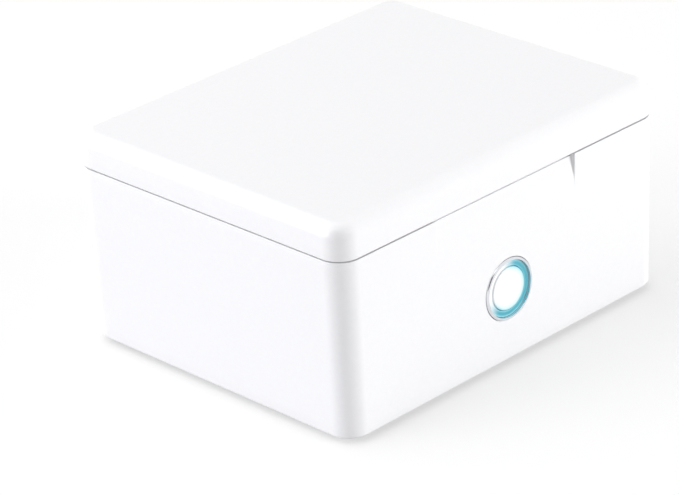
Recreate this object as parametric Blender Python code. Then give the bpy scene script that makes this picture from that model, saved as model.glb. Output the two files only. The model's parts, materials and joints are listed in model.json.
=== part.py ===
"""A hearing aid dryer: a white box with a hinged lid, a lit push button and a heated drying chamber.

Lengths are in metres. The front faces -Y, +X is to the right seen from the front and +Z is up.
The origin is on the table, under the middle of the box.
"""

import math

import bmesh
import bpy
from mathutils import Vector

# The closed box
WIDTH = 0.0924
DEPTH = 0.0757
HEIGHT = 0.0470
LID_HEIGHT = 0.0077
CORNER_RADIUS = 0.00475
LID_EDGE_RADIUS = 0.0030
SIDE_DRAFT = 0.000475
WALL = 0.0020
SEAM_GAP = 0.0003

# Fits that many pieces share: the gap left where pieces touch, and how far a cut or a join runs past a face
GAP = 0.0003
OVERRUN = 0.0010

# Finger scoop under the lid's front edge
SCOOP_WIDTH = 0.0400
SCOOP_HEIGHT = 0.0065
SCOOP_DEPTH = 0.0010

# Deck round the chamber, which carries the chamber's flange
DECK_THICKNESS = 0.0024
FLANGE_THICKNESS = 0.0010
FLANGE_WIDTH = 0.0020

# Hinge: two knuckles of the lid turn on pins in notches of the rear wall
HINGE_SPACING = 0.0540
HINGE_DROP = 0.0040
HINGE_INSET = 0.0022
KNUCKLE_RADIUS = 0.0020
KNUCKLE_WIDTH = 0.0140
KNUCKLE_ARM = 0.0016
KNUCKLE_SIDE_CLEARANCE = 0.0004
NOTCH_CLEARANCE = 0.0006
NOTCH_WALL = 0.0012
CHEEK_WIDTH = 0.0036
PIN_RADIUS = 0.00075
PIN_CLEARANCE = 0.00005
REAR_RELIEF_DEPTH = 0.0014
REAR_RELIEF_DROP = 0.0009

# Button on the front wall, counted inwards from the face
BUTTON_Z = 0.0170
BEZEL_RADIUS = 0.0067
BEZEL_WIDTH = 0.0006
BEZEL_PROUD = 0.0004
BEZEL_CLEARANCE = 0.0001
BEZEL_LIP_WIDTH = 0.0011
BEZEL_LIP_THICKNESS = 0.0010
LIGHT_RING_WIDTH = 0.00125
LIGHT_RING_SUNK = 0.0005
LIGHT_RING_LIP_WIDTH = 0.0014
LIGHT_RING_LIP_THICKNESS = 0.0008
CAP_CLEARANCE = 0.00015
CAP_EDGE_RADIUS = 0.0004
CAP_TAB_REACH = 0.0010
CAP_TAB_WIDTH = 0.0030
CAP_TAB_THICKNESS = 0.0008
CAP_TAB_CLEARANCE = 0.0002
CAP_SETBACK = 0.0008
BUTTON_TRAVEL = 0.0005
PLUNGER_RADIUS = 0.0014
PLUNGER_LENGTH = 0.0015
PLUNGER_CLEARANCE = 0.0002
SWITCH_WIDTH = 0.0052
SWITCH_THICKNESS = 0.0024
BRACKET_THICKNESS = 0.0015
BRACKET_MARGIN = 0.0027
BUTTON_BOARD_THICKNESS = 0.0010
BUTTON_BOARD_SPACE = 0.0024
BUTTON_BOARD_DROP = 0.0085
BUTTON_LED_WIDTH = 0.0012
BUTTON_LED_THICKNESS = 0.0008
BUTTON_POST_RADIUS = 0.0020

# Lid sensor on the button's board
SENSOR_WIDTH = 0.0040
SENSOR_THICKNESS = 0.0009
SENSOR_HEIGHT = 0.0030
SENSOR_MARGIN = 0.0006

# Small screws, all of one size
SCREW_RADIUS = 0.0009
SCREW_CLEARANCE = 0.0001
SCREW_HEAD_RADIUS = 0.0017
SCREW_HEAD_HEIGHT = 0.0011
SCREW_SOCKET_RADIUS = 0.0007
SCREW_SOCKET_DEPTH = 0.0006
SCREW_BITE = 0.0028
SCREW_BOSS_WALL = 0.0013

# Bottom cover, its screws and the feet
COVER_THICKNESS = 0.0024
COVER_SCREW_INSET_X = 0.0058
COVER_SCREW_INSET_Y = 0.00565
FOOT_HEIGHT = 0.0012
FOOT_SEAT = 0.0008
FOOT_RADIUS = 0.0040
FOOT_INSET_X = 0.0122
FOOT_INSET_Y = 0.0098
GRILLE_SLOT = 0.0018
GRILLE_BAR = 0.0012

# Fan
FAN_FRONT_SPACE = 0.0082
FAN_SIZE = 0.0300
FAN_THICKNESS = 0.0070
FAN_BORE_RADIUS = 0.0136
FAN_SCREW_SPACING = 0.0240
FAN_POST_HEIGHT = 0.0015
FAN_SPOKE_WIDTH = 0.0016
FAN_SPOKE_THICKNESS = 0.0012
FAN_BOSS_WALL = 0.0009
FAN_BEARING_WALL = 0.0008
FAN_BEARING_LENGTH = 0.0034
FAN_SHAFT_RADIUS = 0.00075
FAN_SHAFT_CLEARANCE = 0.00005
FAN_HUB_RADIUS = 0.0050
FAN_HUB_ROOF = 0.0010
FAN_HUB_CLEARANCE = 0.0005
FAN_TIP_CLEARANCE = 0.0004
FAN_BLADE_THICKNESS = 0.0009
FAN_BLADE_ROOT_SWEEP = 0.0014
FAN_BLADE_TIP_SWEEP = 0.0026
FAN_BLADES = 7
FAN_SPOKES = 3

# Heater over the fan
HEATER_HEIGHT = 0.0052
HEATER_WALL = 0.0014
HEATER_ELEMENT_WIDTH = 0.0040
HEATER_ELEMENT_HEIGHT = 0.0042
FIN_HEIGHT = 0.0042
FIN_BASE = 0.0010
FIN_LENGTH = 0.0062
FIN_THICKNESS = 0.0006
FIN_PITCH = 0.0020
FIN_COUNT = 9

# Drying chamber and its tray
CHAMBER_WALL = 0.0010
CHAMBER_RADIUS = 0.0060
CHAMBER_SIDE_SPACE = 0.0037
CHAMBER_SLOT = 0.0018
CHAMBER_BAR = 0.0016
TRAY_CLEARANCE = 0.0008
TRAY_FLOOR = 0.0012
TRAY_WALL = 0.0012
TRAY_HEIGHT = 0.0090
TRAY_RAISE = 0.0018
TRAY_RIB = 0.0014
TRAY_SLOT = 0.0020
TRAY_BAR = 0.0022
VENT_LENGTH = 0.0080

# Ultraviolet lamp behind the chamber's rear wall
LAMP_DROP = 0.0103
LAMP_WINDOW_WIDTH = 0.0140
LAMP_WINDOW_HEIGHT = 0.0090
LAMP_WINDOW_THICKNESS = 0.0010
LAMP_WINDOW_LAP = 0.0010
LAMP_LED_WIDTH = 0.0036
LAMP_LED_THICKNESS = 0.0012
LAMP_BOARD_WIDTH = 0.0200
LAMP_BOARD_HEIGHT = 0.0120
LAMP_BOARD_THICKNESS = 0.0010
LAMP_RIB_WIDTH = 0.0020

# Main board and what stands on it
BOARD_THICKNESS = 0.0012
BOARD_POST_HEIGHT = 0.0020
BOARD_HALF_WIDTH = 0.0310
BOARD_MARGIN = 0.0008
BOARD_SCREW_X = 0.0280
BOARD_SCREW_MARGIN = 0.0026
USB_WIDTH = 0.0090
USB_HEIGHT = 0.0032
USB_LENGTH = 0.0073
USB_SHELL = 0.0003
USB_ROUND_SHARE = 0.9
USB_MOUTH_DEPTH = 0.0060
USB_TONGUE_THICKNESS = 0.0007
USB_TONGUE_WIDTH = 0.0067
USB_TONGUE_SETBACK = 0.0008
USB_SETBACK = 0.0004
CHIP_WIDTH = 0.0070
CHIP_SPACE = 0.0020
CHIP_THICKNESS = 0.0010
CAPACITOR_RADIUS = 0.0025
CAPACITOR_HEIGHT = 0.0070
CONNECTOR_WIDTH = 0.0046
CONNECTOR_DEPTH = 0.0036
CONNECTOR_HEIGHT = 0.0038

# Rear vents
VENT_SLOT = 0.0016
VENT_BAR = 0.0018
VENT_HEIGHT = 0.0100
VENT_DROP = 0.0148
VENT_COUNT = 5

# Lid
LID_WALL = 0.0020
LINER_THICKNESS = 0.0024
LINER_LIFT = 0.0008
LINER_POST_RADIUS = 0.0018
LINER_POST_INSET = 0.0060
SEAL_WIDTH = 0.0018
SEAL_GROOVE_DEPTH = 0.0015
SEAL_GROOVE_CLEARANCE = 0.0002

# Magnets that hold the lid shut
MAGNET_RADIUS = 0.0030
MAGNET_THICKNESS = 0.0020
MAGNET_CLEARANCE = 0.0002
MAGNET_SPACING = 0.0240
MAGNET_INSET = 0.0054
MAGNET_COVER = 0.0008

# Wires inside the housing
LEAD_RADIUS = 0.0006

# Counts and angles that set how finely round shapes are drawn
CORNER_STEPS = 6
EDGE_STEPS = 5
ROUND_SIDES = 28
SMALL_SIDES = 12
LEAD_STEPS = 5
LEAD_SIDE_STEPS = 2
SHARP_ANGLE = math.radians(35)

# Heights above the table
SHELL_BOTTOM = FOOT_HEIGHT
SEAM_Z = HEIGHT - LID_HEIGHT
LID_BOTTOM = SEAM_Z + SEAM_GAP
COVER_TOP = SHELL_BOTTOM + COVER_THICKNESS
FAN_BOTTOM = COVER_TOP + FAN_POST_HEIGHT + GAP
FAN_TOP = FAN_BOTTOM + FAN_THICKNESS
HEATER_BOTTOM = FAN_TOP + GAP
HEATER_TOP = HEATER_BOTTOM + HEATER_HEIGHT
CHAMBER_BOTTOM = HEATER_TOP + GAP
CHAMBER_FLOOR = CHAMBER_BOTTOM + CHAMBER_WALL
BOARD_BOTTOM = COVER_TOP + BOARD_POST_HEIGHT + GAP
BOARD_TOP = BOARD_BOTTOM + BOARD_THICKNESS
PART_BOTTOM = BOARD_TOP + GAP
LINER_BOTTOM = LID_BOTTOM + LINER_LIFT
LINER_TOP = LINER_BOTTOM + LINER_THICKNESS
LID_CEILING = HEIGHT - LID_WALL
DECK_BOTTOM = SEAM_Z - DECK_THICKNESS
FLANGE_BOTTOM = SEAM_Z - FLANGE_THICKNESS
LAMP_Z = FLANGE_BOTTOM - LAMP_DROP
BUTTON_BOARD_TOP = DECK_BOTTOM - BUTTON_BOARD_SPACE

# Hinge axis, the notch round each knuckle, and the vents under it
HINGE_Y = DEPTH / 2 - HINGE_INSET
HINGE_Z = SEAM_Z - HINGE_DROP
VENT_Z = HINGE_Z - VENT_DROP
NOTCH_REACH = KNUCKLE_RADIUS + NOTCH_CLEARANCE
NOTCH_HALF_WIDTH = KNUCKLE_WIDTH / 2 + KNUCKLE_SIDE_CLEARANCE
HINGE_XS = {"left": -HINGE_SPACING / 2, "right": HINGE_SPACING / 2}


def shell_half_size(height):
    """Half the width and half the depth of the base's outside at one height."""
    narrower = SIDE_DRAFT * (SEAM_Z - height) / (SEAM_Z - SHELL_BOTTOM)
    return WIDTH / 2 - narrower, DEPTH / 2 - narrower


# Button stack: places along Y, going in from the front face
FACE_Y = -shell_half_size(BUTTON_Z)[1]
FRONT_WALL_Y = FACE_Y + WALL
BEZEL_BACK_Y = FRONT_WALL_Y + GAP + BEZEL_LIP_THICKNESS
RING_LIP_Y = BEZEL_BACK_Y + GAP
RING_LIP_BACK_Y = RING_LIP_Y + LIGHT_RING_LIP_THICKNESS
BRACKET_Y = RING_LIP_BACK_Y + GAP
BRACKET_BACK_Y = BRACKET_Y + BRACKET_THICKNESS
CAP_TAB_Y = RING_LIP_BACK_Y + CAP_SETBACK + CAP_TAB_CLEARANCE
CAP_BACK_Y = CAP_TAB_Y + CAP_TAB_THICKNESS
PLUNGER_Y = CAP_BACK_Y + GAP
SWITCH_Y = CAP_BACK_Y + BUTTON_TRAVEL + GAP
SWITCH_BACK_Y = SWITCH_Y + SWITCH_THICKNESS
BUTTON_BOARD_Y = SWITCH_BACK_Y + GAP
BUTTON_BOARD_BACK_Y = BUTTON_BOARD_Y + BUTTON_BOARD_THICKNESS
BUTTON_SCREW_Y = BUTTON_BOARD_BACK_Y + GAP
RING_OUTER_RADIUS = BEZEL_RADIUS - BEZEL_WIDTH - BEZEL_CLEARANCE
RING_INNER_RADIUS = RING_OUTER_RADIUS - LIGHT_RING_WIDTH
CAP_RADIUS = RING_INNER_RADIUS - CAP_CLEARANCE
BEZEL_LIP_RADIUS = BEZEL_RADIUS + BEZEL_LIP_WIDTH
BUTTON_POST_X = BEZEL_LIP_RADIUS + GAP + BUTTON_POST_RADIUS
BRACKET_HALF_WIDTH = BUTTON_POST_X + BRACKET_MARGIN
BRACKET_HALF_HEIGHT = RING_OUTER_RADIUS + BRACKET_MARGIN

# Chamber: behind the button stack, and in front of the hinge notches. The fan lies under it
CHAMBER_FRONT = BUTTON_SCREW_Y + SCREW_HEAD_HEIGHT + GAP
REBATE_REAR = HINGE_Y - NOTCH_REACH - NOTCH_WALL
FLANGE_REAR = REBATE_REAR - GAP
CHAMBER_REAR = FLANGE_REAR - FLANGE_WIDTH
CHAMBER_Y = (CHAMBER_FRONT + CHAMBER_REAR) / 2
CHAMBER_HALF_DEPTH = (CHAMBER_REAR - CHAMBER_FRONT) / 2
CHAMBER_HALF_WIDTH = WIDTH / 2 - WALL - CHAMBER_SIDE_SPACE
FAN_Y = CHAMBER_FRONT + FAN_FRONT_SPACE + FAN_SIZE / 2

# Lamp stack: places along Y, going back from the chamber's rear wall
LAMP_WINDOW_Y = CHAMBER_REAR + GAP
LAMP_LED_Y = LAMP_WINDOW_Y + LAMP_WINDOW_THICKNESS + GAP
LAMP_BOARD_Y = LAMP_LED_Y + LAMP_LED_THICKNESS + GAP
LAMP_BOARD_BACK_Y = LAMP_BOARD_Y + LAMP_BOARD_THICKNESS

# Main board's edges, and the places of the parts on it
BOARD_FRONT = FAN_Y + FAN_SIZE / 2 + BOARD_MARGIN
BOARD_REAR = shell_half_size(BOARD_TOP)[1] - WALL - BOARD_MARGIN
BOARD_MIDDLE = (BOARD_FRONT + BOARD_REAR) / 2
BOARD_SCREW_Y = BOARD_REAR - BOARD_SCREW_MARGIN

# Places that the two halves of the lid's catch share
MAGNET_Y = -DEPTH / 2 + MAGNET_INSET
MAGNET_XS = {"left": -MAGNET_SPACING / 2, "right": MAGNET_SPACING / 2}

# Finish of each kind of piece: colour, roughness, metallic
LOOKS = {
    "white_plastic": ((0.93, 0.93, 0.95), 0.25, 0.0),
    "liner_plastic": ((0.88, 0.89, 0.91), 0.35, 0.0),
    "dark_plastic": ((0.05, 0.05, 0.06), 0.45, 0.0),
    "chrome": ((0.80, 0.81, 0.83), 0.08, 1.0),
    "steel": ((0.55, 0.56, 0.58), 0.30, 1.0),
    "brass": ((0.75, 0.58, 0.28), 0.35, 1.0),
    "aluminium": ((0.78, 0.79, 0.80), 0.30, 1.0),
    "light_pipe": ((0.30, 0.75, 0.80), 0.20, 0.0),
    "rubber": ((0.10, 0.10, 0.10), 0.80, 0.0),
    "silicone": ((0.80, 0.81, 0.82), 0.60, 0.0),
    "circuit_board": ((0.02, 0.20, 0.09), 0.50, 0.0),
    "ceramic": ((0.85, 0.82, 0.75), 0.55, 0.0),
    "quartz": ((0.85, 0.90, 0.95), 0.05, 0.0),
    "lead_jacket": ((0.75, 0.10, 0.08), 0.50, 0.0),
}


def clear_scene():
    """Takes every object out of the file."""
    for obj in list(bpy.data.objects):
        bpy.data.objects.remove(obj, do_unlink=True)


def finish(look):
    """The material of one kind of piece, made when it is first asked for."""
    if look in bpy.data.materials:
        return bpy.data.materials[look]
    colour, roughness, metallic = LOOKS[look]
    material = bpy.data.materials.new(look)
    material.use_nodes = True
    shader = material.node_tree.nodes["Principled BSDF"]
    shader.inputs["Base Color"].default_value = (*colour, 1)
    shader.inputs["Roughness"].default_value = roughness
    shader.inputs["Metallic"].default_value = metallic
    return material


def rounded(half_x, half_y, radius, height, centre_y=0.0):
    """The points of a rounded rectangle at one height."""
    points = []
    for quarter, (side_x, side_y) in enumerate(((1, 1), (-1, 1), (-1, -1), (1, -1))):
        for step in range(CORNER_STEPS + 1):
            angle = math.radians(90) * (quarter + step / CORNER_STEPS)
            x = side_x * (half_x - radius) + radius * math.cos(angle)
            y = side_y * (half_y - radius) + radius * math.sin(angle)
            points.append((x, centre_y + y, height))
    return points


def shell_ring(height, inset=0.0):
    """The base's outline at one height, or a line inside it."""
    half_x, half_y = shell_half_size(height)
    return rounded(half_x - inset, half_y - inset, CORNER_RADIUS - inset, height)


def lid_ring(height, inset=0.0):
    """The lid's outline, or a line inside it."""
    radius = CORNER_RADIUS - inset
    return rounded(WIDTH / 2 - inset, DEPTH / 2 - inset, radius, height)


def chamber_ring(height, outset=0.0):
    """The chamber's outer outline, or a line outside it, or inside it where the outset is negative."""
    half_x = CHAMBER_HALF_WIDTH + outset
    half_y = CHAMBER_HALF_DEPTH + outset
    return rounded(half_x, half_y, CHAMBER_RADIUS + outset, height, CHAMBER_Y)


def loft(rings, closed=False):
    """A closed mesh through rings of points, either capped at both ends or joined last to first."""
    mesh = bmesh.new()
    loops = [[mesh.verts.new(point) for point in ring] for ring in rings]
    pairs = list(zip(loops, loops[1:]))
    if closed:
        pairs.append((loops[-1], loops[0]))
    else:
        mesh.faces.new(loops[0])
        mesh.faces.new(loops[-1])
    for lower, upper in pairs:
        for i, point in enumerate(lower):
            j = (i + 1) % len(lower)
            mesh.faces.new((point, lower[j], upper[j], upper[i]))
    bmesh.ops.recalc_face_normals(mesh, faces=mesh.faces)
    return mesh


def placed(u, v, along, axis):
    """A point given by its place along an axis and two places across it."""
    if axis == "X":
        return (along, u, v)
    if axis == "Y":
        return (u, along, v)
    return (u, v, along)


def turned(profile, axis="Z", centre=(0.0, 0.0), sides=ROUND_SIDES, closed=False):
    """A turned solid: the profile gives pairs of a radius and a place along the axis."""
    rings = []
    for radius, along in profile:
        ring = []
        for i in range(sides):
            angle = math.tau * (i + 0.5) / sides
            u = centre[0] + radius * math.cos(angle)
            v = centre[1] + radius * math.sin(angle)
            ring.append(placed(u, v, along, axis))
        rings.append(ring)
    return loft(rings, closed)


def rod(radius, start, end, axis="Z", centre=(0.0, 0.0), sides=SMALL_SIDES):
    """A plain round rod."""
    return turned([(radius, start), (radius, end)], axis, centre, sides)


def prism(outline, start, end, axis="Z"):
    """An outline across one axis, carried straight along it."""
    return loft([[placed(u, v, along, axis) for u, v in outline] for along in (start, end)])


def block(first, second):
    """A box between two opposite corners."""
    low = [min(pair) for pair in zip(first, second)]
    high = [max(pair) for pair in zip(first, second)]
    outline = [(low[0], low[1]), (high[0], low[1]), (high[0], high[1]), (low[0], high[1])]
    return prism(outline, low[2], high[2])


def together(meshes):
    """One mesh that holds several closed shapes which stay apart."""
    whole = bmesh.new()
    for mesh in meshes:
        piece = bpy.data.meshes.new("piece")
        mesh.to_mesh(piece)
        mesh.free()
        whole.from_mesh(piece)
        bpy.data.meshes.remove(piece)
    return whole


def shade(data):
    """Shades a mesh smooth, but for the edges between faces that meet at a clear angle."""
    data.shade_smooth()
    data.set_sharp_from_angle(angle=SHARP_ANGLE)


def add(name, mesh, look, origin=(0.0, 0.0, 0.0), parent=None):
    """Makes an object of a mesh drawn in the part's own frame. Its origin goes where it is asked for."""
    place = Vector(origin)
    bmesh.ops.translate(mesh, verts=mesh.verts, vec=-place)
    data = bpy.data.meshes.new(name)
    mesh.to_mesh(data)
    mesh.free()
    data.materials.append(finish(look))
    shade(data)
    obj = bpy.data.objects.new(name, data)
    bpy.context.collection.objects.link(obj)
    if parent:
        obj.parent = parent
        place -= parent.location
    obj.location = place
    return obj


def work(obj, operation, mesh):
    """Cuts a mesh from an object or joins one to it, with a Boolean that is applied at once."""
    helper = add(f"{obj.name}_helper", mesh, obj.data.materials[0].name, parent=obj.parent)
    modifier = obj.modifiers.new("shape", "BOOLEAN")
    modifier.operation = operation
    modifier.object = helper
    bpy.context.view_layer.update()
    graph = bpy.context.evaluated_depsgraph_get()
    plain = obj.data
    obj.data = bpy.data.meshes.new_from_object(obj.evaluated_get(graph))
    obj.modifiers.clear()
    shade(obj.data)
    bpy.data.objects.remove(helper, do_unlink=True)
    bpy.data.meshes.remove(plain)
    obj.data.name = obj.name


def cut(obj, mesh):
    """Takes a shape away from an object."""
    work(obj, "DIFFERENCE", mesh)


def join(obj, mesh):
    """Grows an object by a shape that overlaps it."""
    work(obj, "UNION", mesh)


def axis_empty(name, place):
    """An empty on a joint's axis, which carries the pieces that move about it."""
    empty = bpy.data.objects.new(name, None)
    empty.location = place
    bpy.context.collection.objects.link(empty)
    return empty


def row_of_places(count, pitch):
    """Evenly spaced places about zero."""
    return [pitch * (i - (count - 1) / 2) for i in range(count)]


def count_in(length, pitch):
    """How many places of one pitch fit in a length."""
    return max(1, int(length / pitch))


def cover_screw_places():
    """Each cover screw's corner, by name."""
    x = WIDTH / 2 - COVER_SCREW_INSET_X
    y = DEPTH / 2 - COVER_SCREW_INSET_Y
    return corner_places(x, y)


def foot_places():
    """Each foot's corner, by name."""
    return corner_places(WIDTH / 2 - FOOT_INSET_X, DEPTH / 2 - FOOT_INSET_Y)


def corner_places(x, y):
    """Four places, named as they lie seen from the front."""
    places = {}
    for side_y, end in ((-1, "front"), (1, "rear")):
        for side_x, side in ((-1, "left"), (1, "right")):
            places[f"{end}_{side}"] = (side_x * x, side_y * y)
    return places


def fan_screw_places():
    """The fan's two screws, in opposite corners."""
    reach = FAN_SCREW_SPACING / 2
    return {"left": (-reach, FAN_Y - reach), "right": (reach, FAN_Y + reach)}


def screw(name, start, end, axis, centre, side):
    """A screw from its head's bearing face to its tip, with the head on the given side of the start."""
    top = start + side * SCREW_HEAD_HEIGHT
    socket = top - side * SCREW_SOCKET_DEPTH
    profile = [
        (SCREW_RADIUS, end),
        (SCREW_RADIUS, start),
        (SCREW_HEAD_RADIUS, start),
        (SCREW_HEAD_RADIUS, top),
        (SCREW_SOCKET_RADIUS, top),
        (SCREW_SOCKET_RADIUS, socket),
    ]
    return add(name, turned(profile, axis, centre, SMALL_SIDES), "steel")


def screw_hole(start, end, axis, centre):
    """The hole that a screw's shank runs in."""
    return rod(SCREW_RADIUS + SCREW_CLEARANCE, start, end, axis, centre)


def base_shell():
    """The drafted outer wall and the deck that carries the chamber."""
    rebate = FLANGE_WIDTH + GAP
    rebate_floor = FLANGE_BOTTOM - GAP
    rings = [
        shell_ring(SHELL_BOTTOM),
        shell_ring(SEAM_Z),
        chamber_ring(SEAM_Z, rebate),
        chamber_ring(rebate_floor, rebate),
        chamber_ring(rebate_floor, GAP),
        chamber_ring(DECK_BOTTOM, GAP),
        shell_ring(DECK_BOTTOM, WALL),
        shell_ring(SHELL_BOTTOM, WALL),
    ]
    shell = add("base_shell", loft(rings, closed=True), "white_plastic")
    cut(shell, scoop())
    places = cover_screw_places().values()
    boss_bottom = COVER_TOP + GAP
    boss_top = CHAMBER_BOTTOM - GAP
    boss_radius = SCREW_RADIUS + SCREW_BOSS_WALL
    join(shell, together([rod(boss_radius, boss_bottom, boss_top, "Z", place) for place in places]))
    join(shell, together([cover_boss_rib(x, y, "X") for x, y in places]))
    join(shell, together([cover_boss_rib(x, y, "Y") for x, y in places]))
    bite = boss_bottom + SCREW_BITE + GAP
    cut(shell, together([screw_hole(boss_bottom - OVERRUN, bite, "Z", place) for place in places]))
    join(shell, together([button_post(x) for x in (-BUTTON_POST_X, BUTTON_POST_X)]))
    hole = BEZEL_RADIUS + BEZEL_CLEARANCE
    centre = (0.0, BUTTON_Z)
    cut(shell, rod(hole, FACE_Y - OVERRUN, FRONT_WALL_Y + OVERRUN, "Y", centre, ROUND_SIDES))
    holes = [button_post_hole(x) for x in (-BUTTON_POST_X, BUTTON_POST_X)]
    cut(shell, together(holes))
    join(shell, together([hinge_cheeks(x) for x in HINGE_XS.values()]))
    cut(shell, together([hinge_notch(x) for x in HINGE_XS.values()]))
    cut(shell, together([pin_bore(x) for x in HINGE_XS.values()]))
    cut(shell, rear_relief())
    cut(shell, usb_opening())
    cut(shell, rear_vents())
    join(shell, together([lamp_rib(side) for side in (-1, 1)]))
    cut(shell, together([base_magnet_pocket(x) for x in MAGNET_XS.values()]))
    return shell


def scoop():
    """The wedge that a fingertip reaches into to lift the lid."""
    bottom = SEAM_Z - SCOOP_HEIGHT
    start_y = -shell_half_size(bottom)[1]
    end_y = -shell_half_size(SEAM_Z)[1] + SCOOP_DEPTH
    slope = (end_y - start_y) / SCOOP_HEIGHT
    outside = -DEPTH / 2 - OVERRUN
    outline = [
        (start_y - slope * OVERRUN, bottom - OVERRUN),
        (end_y + slope * OVERRUN, SEAM_Z + OVERRUN),
        (outside, SEAM_Z + OVERRUN),
        (outside, bottom - OVERRUN),
    ]
    return prism(outline, -SCOOP_WIDTH / 2, SCOOP_WIDTH / 2, "X")


def cover_boss_rib(x, y, axis):
    """A rib that ties a cover screw's boss to the wall beside it, along one axis."""
    half_x, half_y = shell_half_size(COVER_TOP)
    half = SCREW_BOSS_WALL / 2
    low_z = COVER_TOP + GAP
    high_z = CHAMBER_BOTTOM - GAP
    if axis == "X":
        wall_x = math.copysign(half_x - WALL / 2, x)
        near_x = x + math.copysign(SCREW_RADIUS + half, x)
        return block((near_x, y - half, low_z), (wall_x, y + half, high_z))
    wall_y = math.copysign(half_y - WALL / 2, y)
    near_y = y + math.copysign(SCREW_RADIUS + half, y)
    return block((x - half, near_y, low_z), (x + half, wall_y, high_z))


def button_post(x):
    """A boss behind the front wall, which the button's bracket is screwed to."""
    start = FRONT_WALL_Y - OVERRUN
    return rod(BUTTON_POST_RADIUS, start, BRACKET_Y - GAP, "Y", (x, BUTTON_Z))


def button_post_hole(x):
    """The screw hole in a button boss. It stops inside the front wall."""
    start = BRACKET_Y - GAP - SCREW_BITE
    return screw_hole(start, BRACKET_Y, "Y", (x, BUTTON_Z))


def hinge_cheeks(x):
    """The block behind the rear wall whose two cheeks hold a hinge pin."""
    half_width = NOTCH_HALF_WIDTH + CHEEK_WIDTH
    reach = NOTCH_REACH + NOTCH_WALL
    low = (x - half_width, HINGE_Y - reach, HINGE_Z - reach)
    high = (x + half_width, HINGE_Y + HINGE_INSET - WALL / 2, SEAM_Z - DECK_THICKNESS / 2)
    return block(low, high)


def hinge_notch(x):
    """The room that a knuckle turns in, open at the top and at the back."""
    low = (x - NOTCH_HALF_WIDTH, HINGE_Y - NOTCH_REACH, HINGE_Z - NOTCH_REACH)
    high = (x + NOTCH_HALF_WIDTH, DEPTH / 2 + OVERRUN, SEAM_Z + OVERRUN)
    return block(low, high)


def pin_bore(x):
    """The bore through both cheeks for a hinge pin."""
    reach = NOTCH_HALF_WIDTH + CHEEK_WIDTH + OVERRUN
    return rod(PIN_RADIUS + PIN_CLEARANCE, x - reach, x + reach, "X", (HINGE_Y, HINGE_Z))


def rear_relief():
    """The chamfer along the rear rim that lets the lid's edge swing past."""
    rear = DEPTH / 2
    slope = REAR_RELIEF_DROP / REAR_RELIEF_DEPTH
    outline = [
        (rear - REAR_RELIEF_DEPTH - OVERRUN, SEAM_Z + slope * OVERRUN),
        (rear + OVERRUN, SEAM_Z - REAR_RELIEF_DROP - slope * OVERRUN),
        (rear + OVERRUN, SEAM_Z + OVERRUN),
    ]
    return prism(outline, -WIDTH / 2 - OVERRUN, WIDTH / 2 + OVERRUN, "X")


def usb_opening():
    """The hole in the rear wall round the power socket."""
    inner_y = shell_half_size(PART_BOTTOM)[1] - WALL - OVERRUN
    return loft([usb_ring(y, -GAP) for y in (inner_y, DEPTH / 2 + OVERRUN)])


def rear_vents():
    """Two rows of upright slots in the rear wall that let the moist air out."""
    slots = []
    inner_y = shell_half_size(VENT_Z)[1] - WALL - OVERRUN
    for hinge_x in HINGE_XS.values():
        for place in row_of_places(VENT_COUNT, VENT_SLOT + VENT_BAR):
            x = hinge_x + place
            low = (x - VENT_SLOT / 2, inner_y, VENT_Z - VENT_HEIGHT / 2)
            high = (x + VENT_SLOT / 2, DEPTH / 2 + OVERRUN, VENT_Z + VENT_HEIGHT / 2)
            slots.append(block(low, high))
    return together(slots)


def lamp_rib(side):
    """A rib of the rear wall that the lamp's board rests against."""
    x = side * (LAMP_BOARD_WIDTH / 2 - LAMP_RIB_WIDTH)
    wall_y = shell_half_size(LAMP_Z)[1] - WALL / 2
    low = (x - LAMP_RIB_WIDTH / 2, LAMP_BOARD_BACK_Y + GAP, LAMP_Z - LAMP_BOARD_HEIGHT / 2)
    high = (x + LAMP_RIB_WIDTH / 2, wall_y, LAMP_Z + LAMP_BOARD_HEIGHT / 2)
    return block(low, high)


def base_magnet_pocket(x):
    """The pocket under the deck for a magnet."""
    top = SEAM_Z - MAGNET_COVER
    bottom = DECK_BOTTOM - OVERRUN
    radius = MAGNET_RADIUS + MAGNET_CLEARANCE
    return rod(radius, bottom, top, "Z", (x, MAGNET_Y), ROUND_SIDES)


def bottom_cover():
    """The plate that closes the base, with the air grille, the posts and the seats of the feet."""
    inset = WALL + GAP
    half_x, half_y = shell_half_size(SHELL_BOTTOM)
    radius = CORNER_RADIUS - inset
    rings = []
    for height in (SHELL_BOTTOM, COVER_TOP):
        rings.append(rounded(half_x - inset, half_y - inset, radius, height))
    cover = add("bottom_cover", loft(rings), "white_plastic")
    posts = []
    for x, y in fan_screw_places().values():
        top = FAN_BOTTOM - GAP
        posts.append(rod(SCREW_RADIUS + SCREW_BOSS_WALL, SHELL_BOTTOM + OVERRUN, top, "Z", (x, y)))
    for x in (-BOARD_SCREW_X, BOARD_SCREW_X):
        top = BOARD_BOTTOM - GAP
        place = (x, BOARD_SCREW_Y)
        posts.append(rod(SCREW_RADIUS + SCREW_BOSS_WALL, SHELL_BOTTOM + OVERRUN, top, "Z", place))
    join(cover, together(posts))
    holes = []
    for place in fan_screw_places().values():
        top = FAN_BOTTOM - GAP
        holes.append(screw_hole(top - SCREW_BITE, top + OVERRUN, "Z", place))
    for x in (-BOARD_SCREW_X, BOARD_SCREW_X):
        top = BOARD_BOTTOM - GAP
        holes.append(screw_hole(top - SCREW_BITE, top + OVERRUN, "Z", (x, BOARD_SCREW_Y)))
    cut(cover, together(holes))
    cut(cover, together([cover_screw_seat(*place) for place in cover_screw_places().values()]))
    seats = []
    for place in foot_places().values():
        bottom = SHELL_BOTTOM - OVERRUN
        radius = FOOT_RADIUS + GAP
        seats.append(rod(radius, bottom, SHELL_BOTTOM + FOOT_SEAT, "Z", place, ROUND_SIDES))
    cut(cover, together(seats))
    cut(cover, grille())
    return cover


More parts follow.
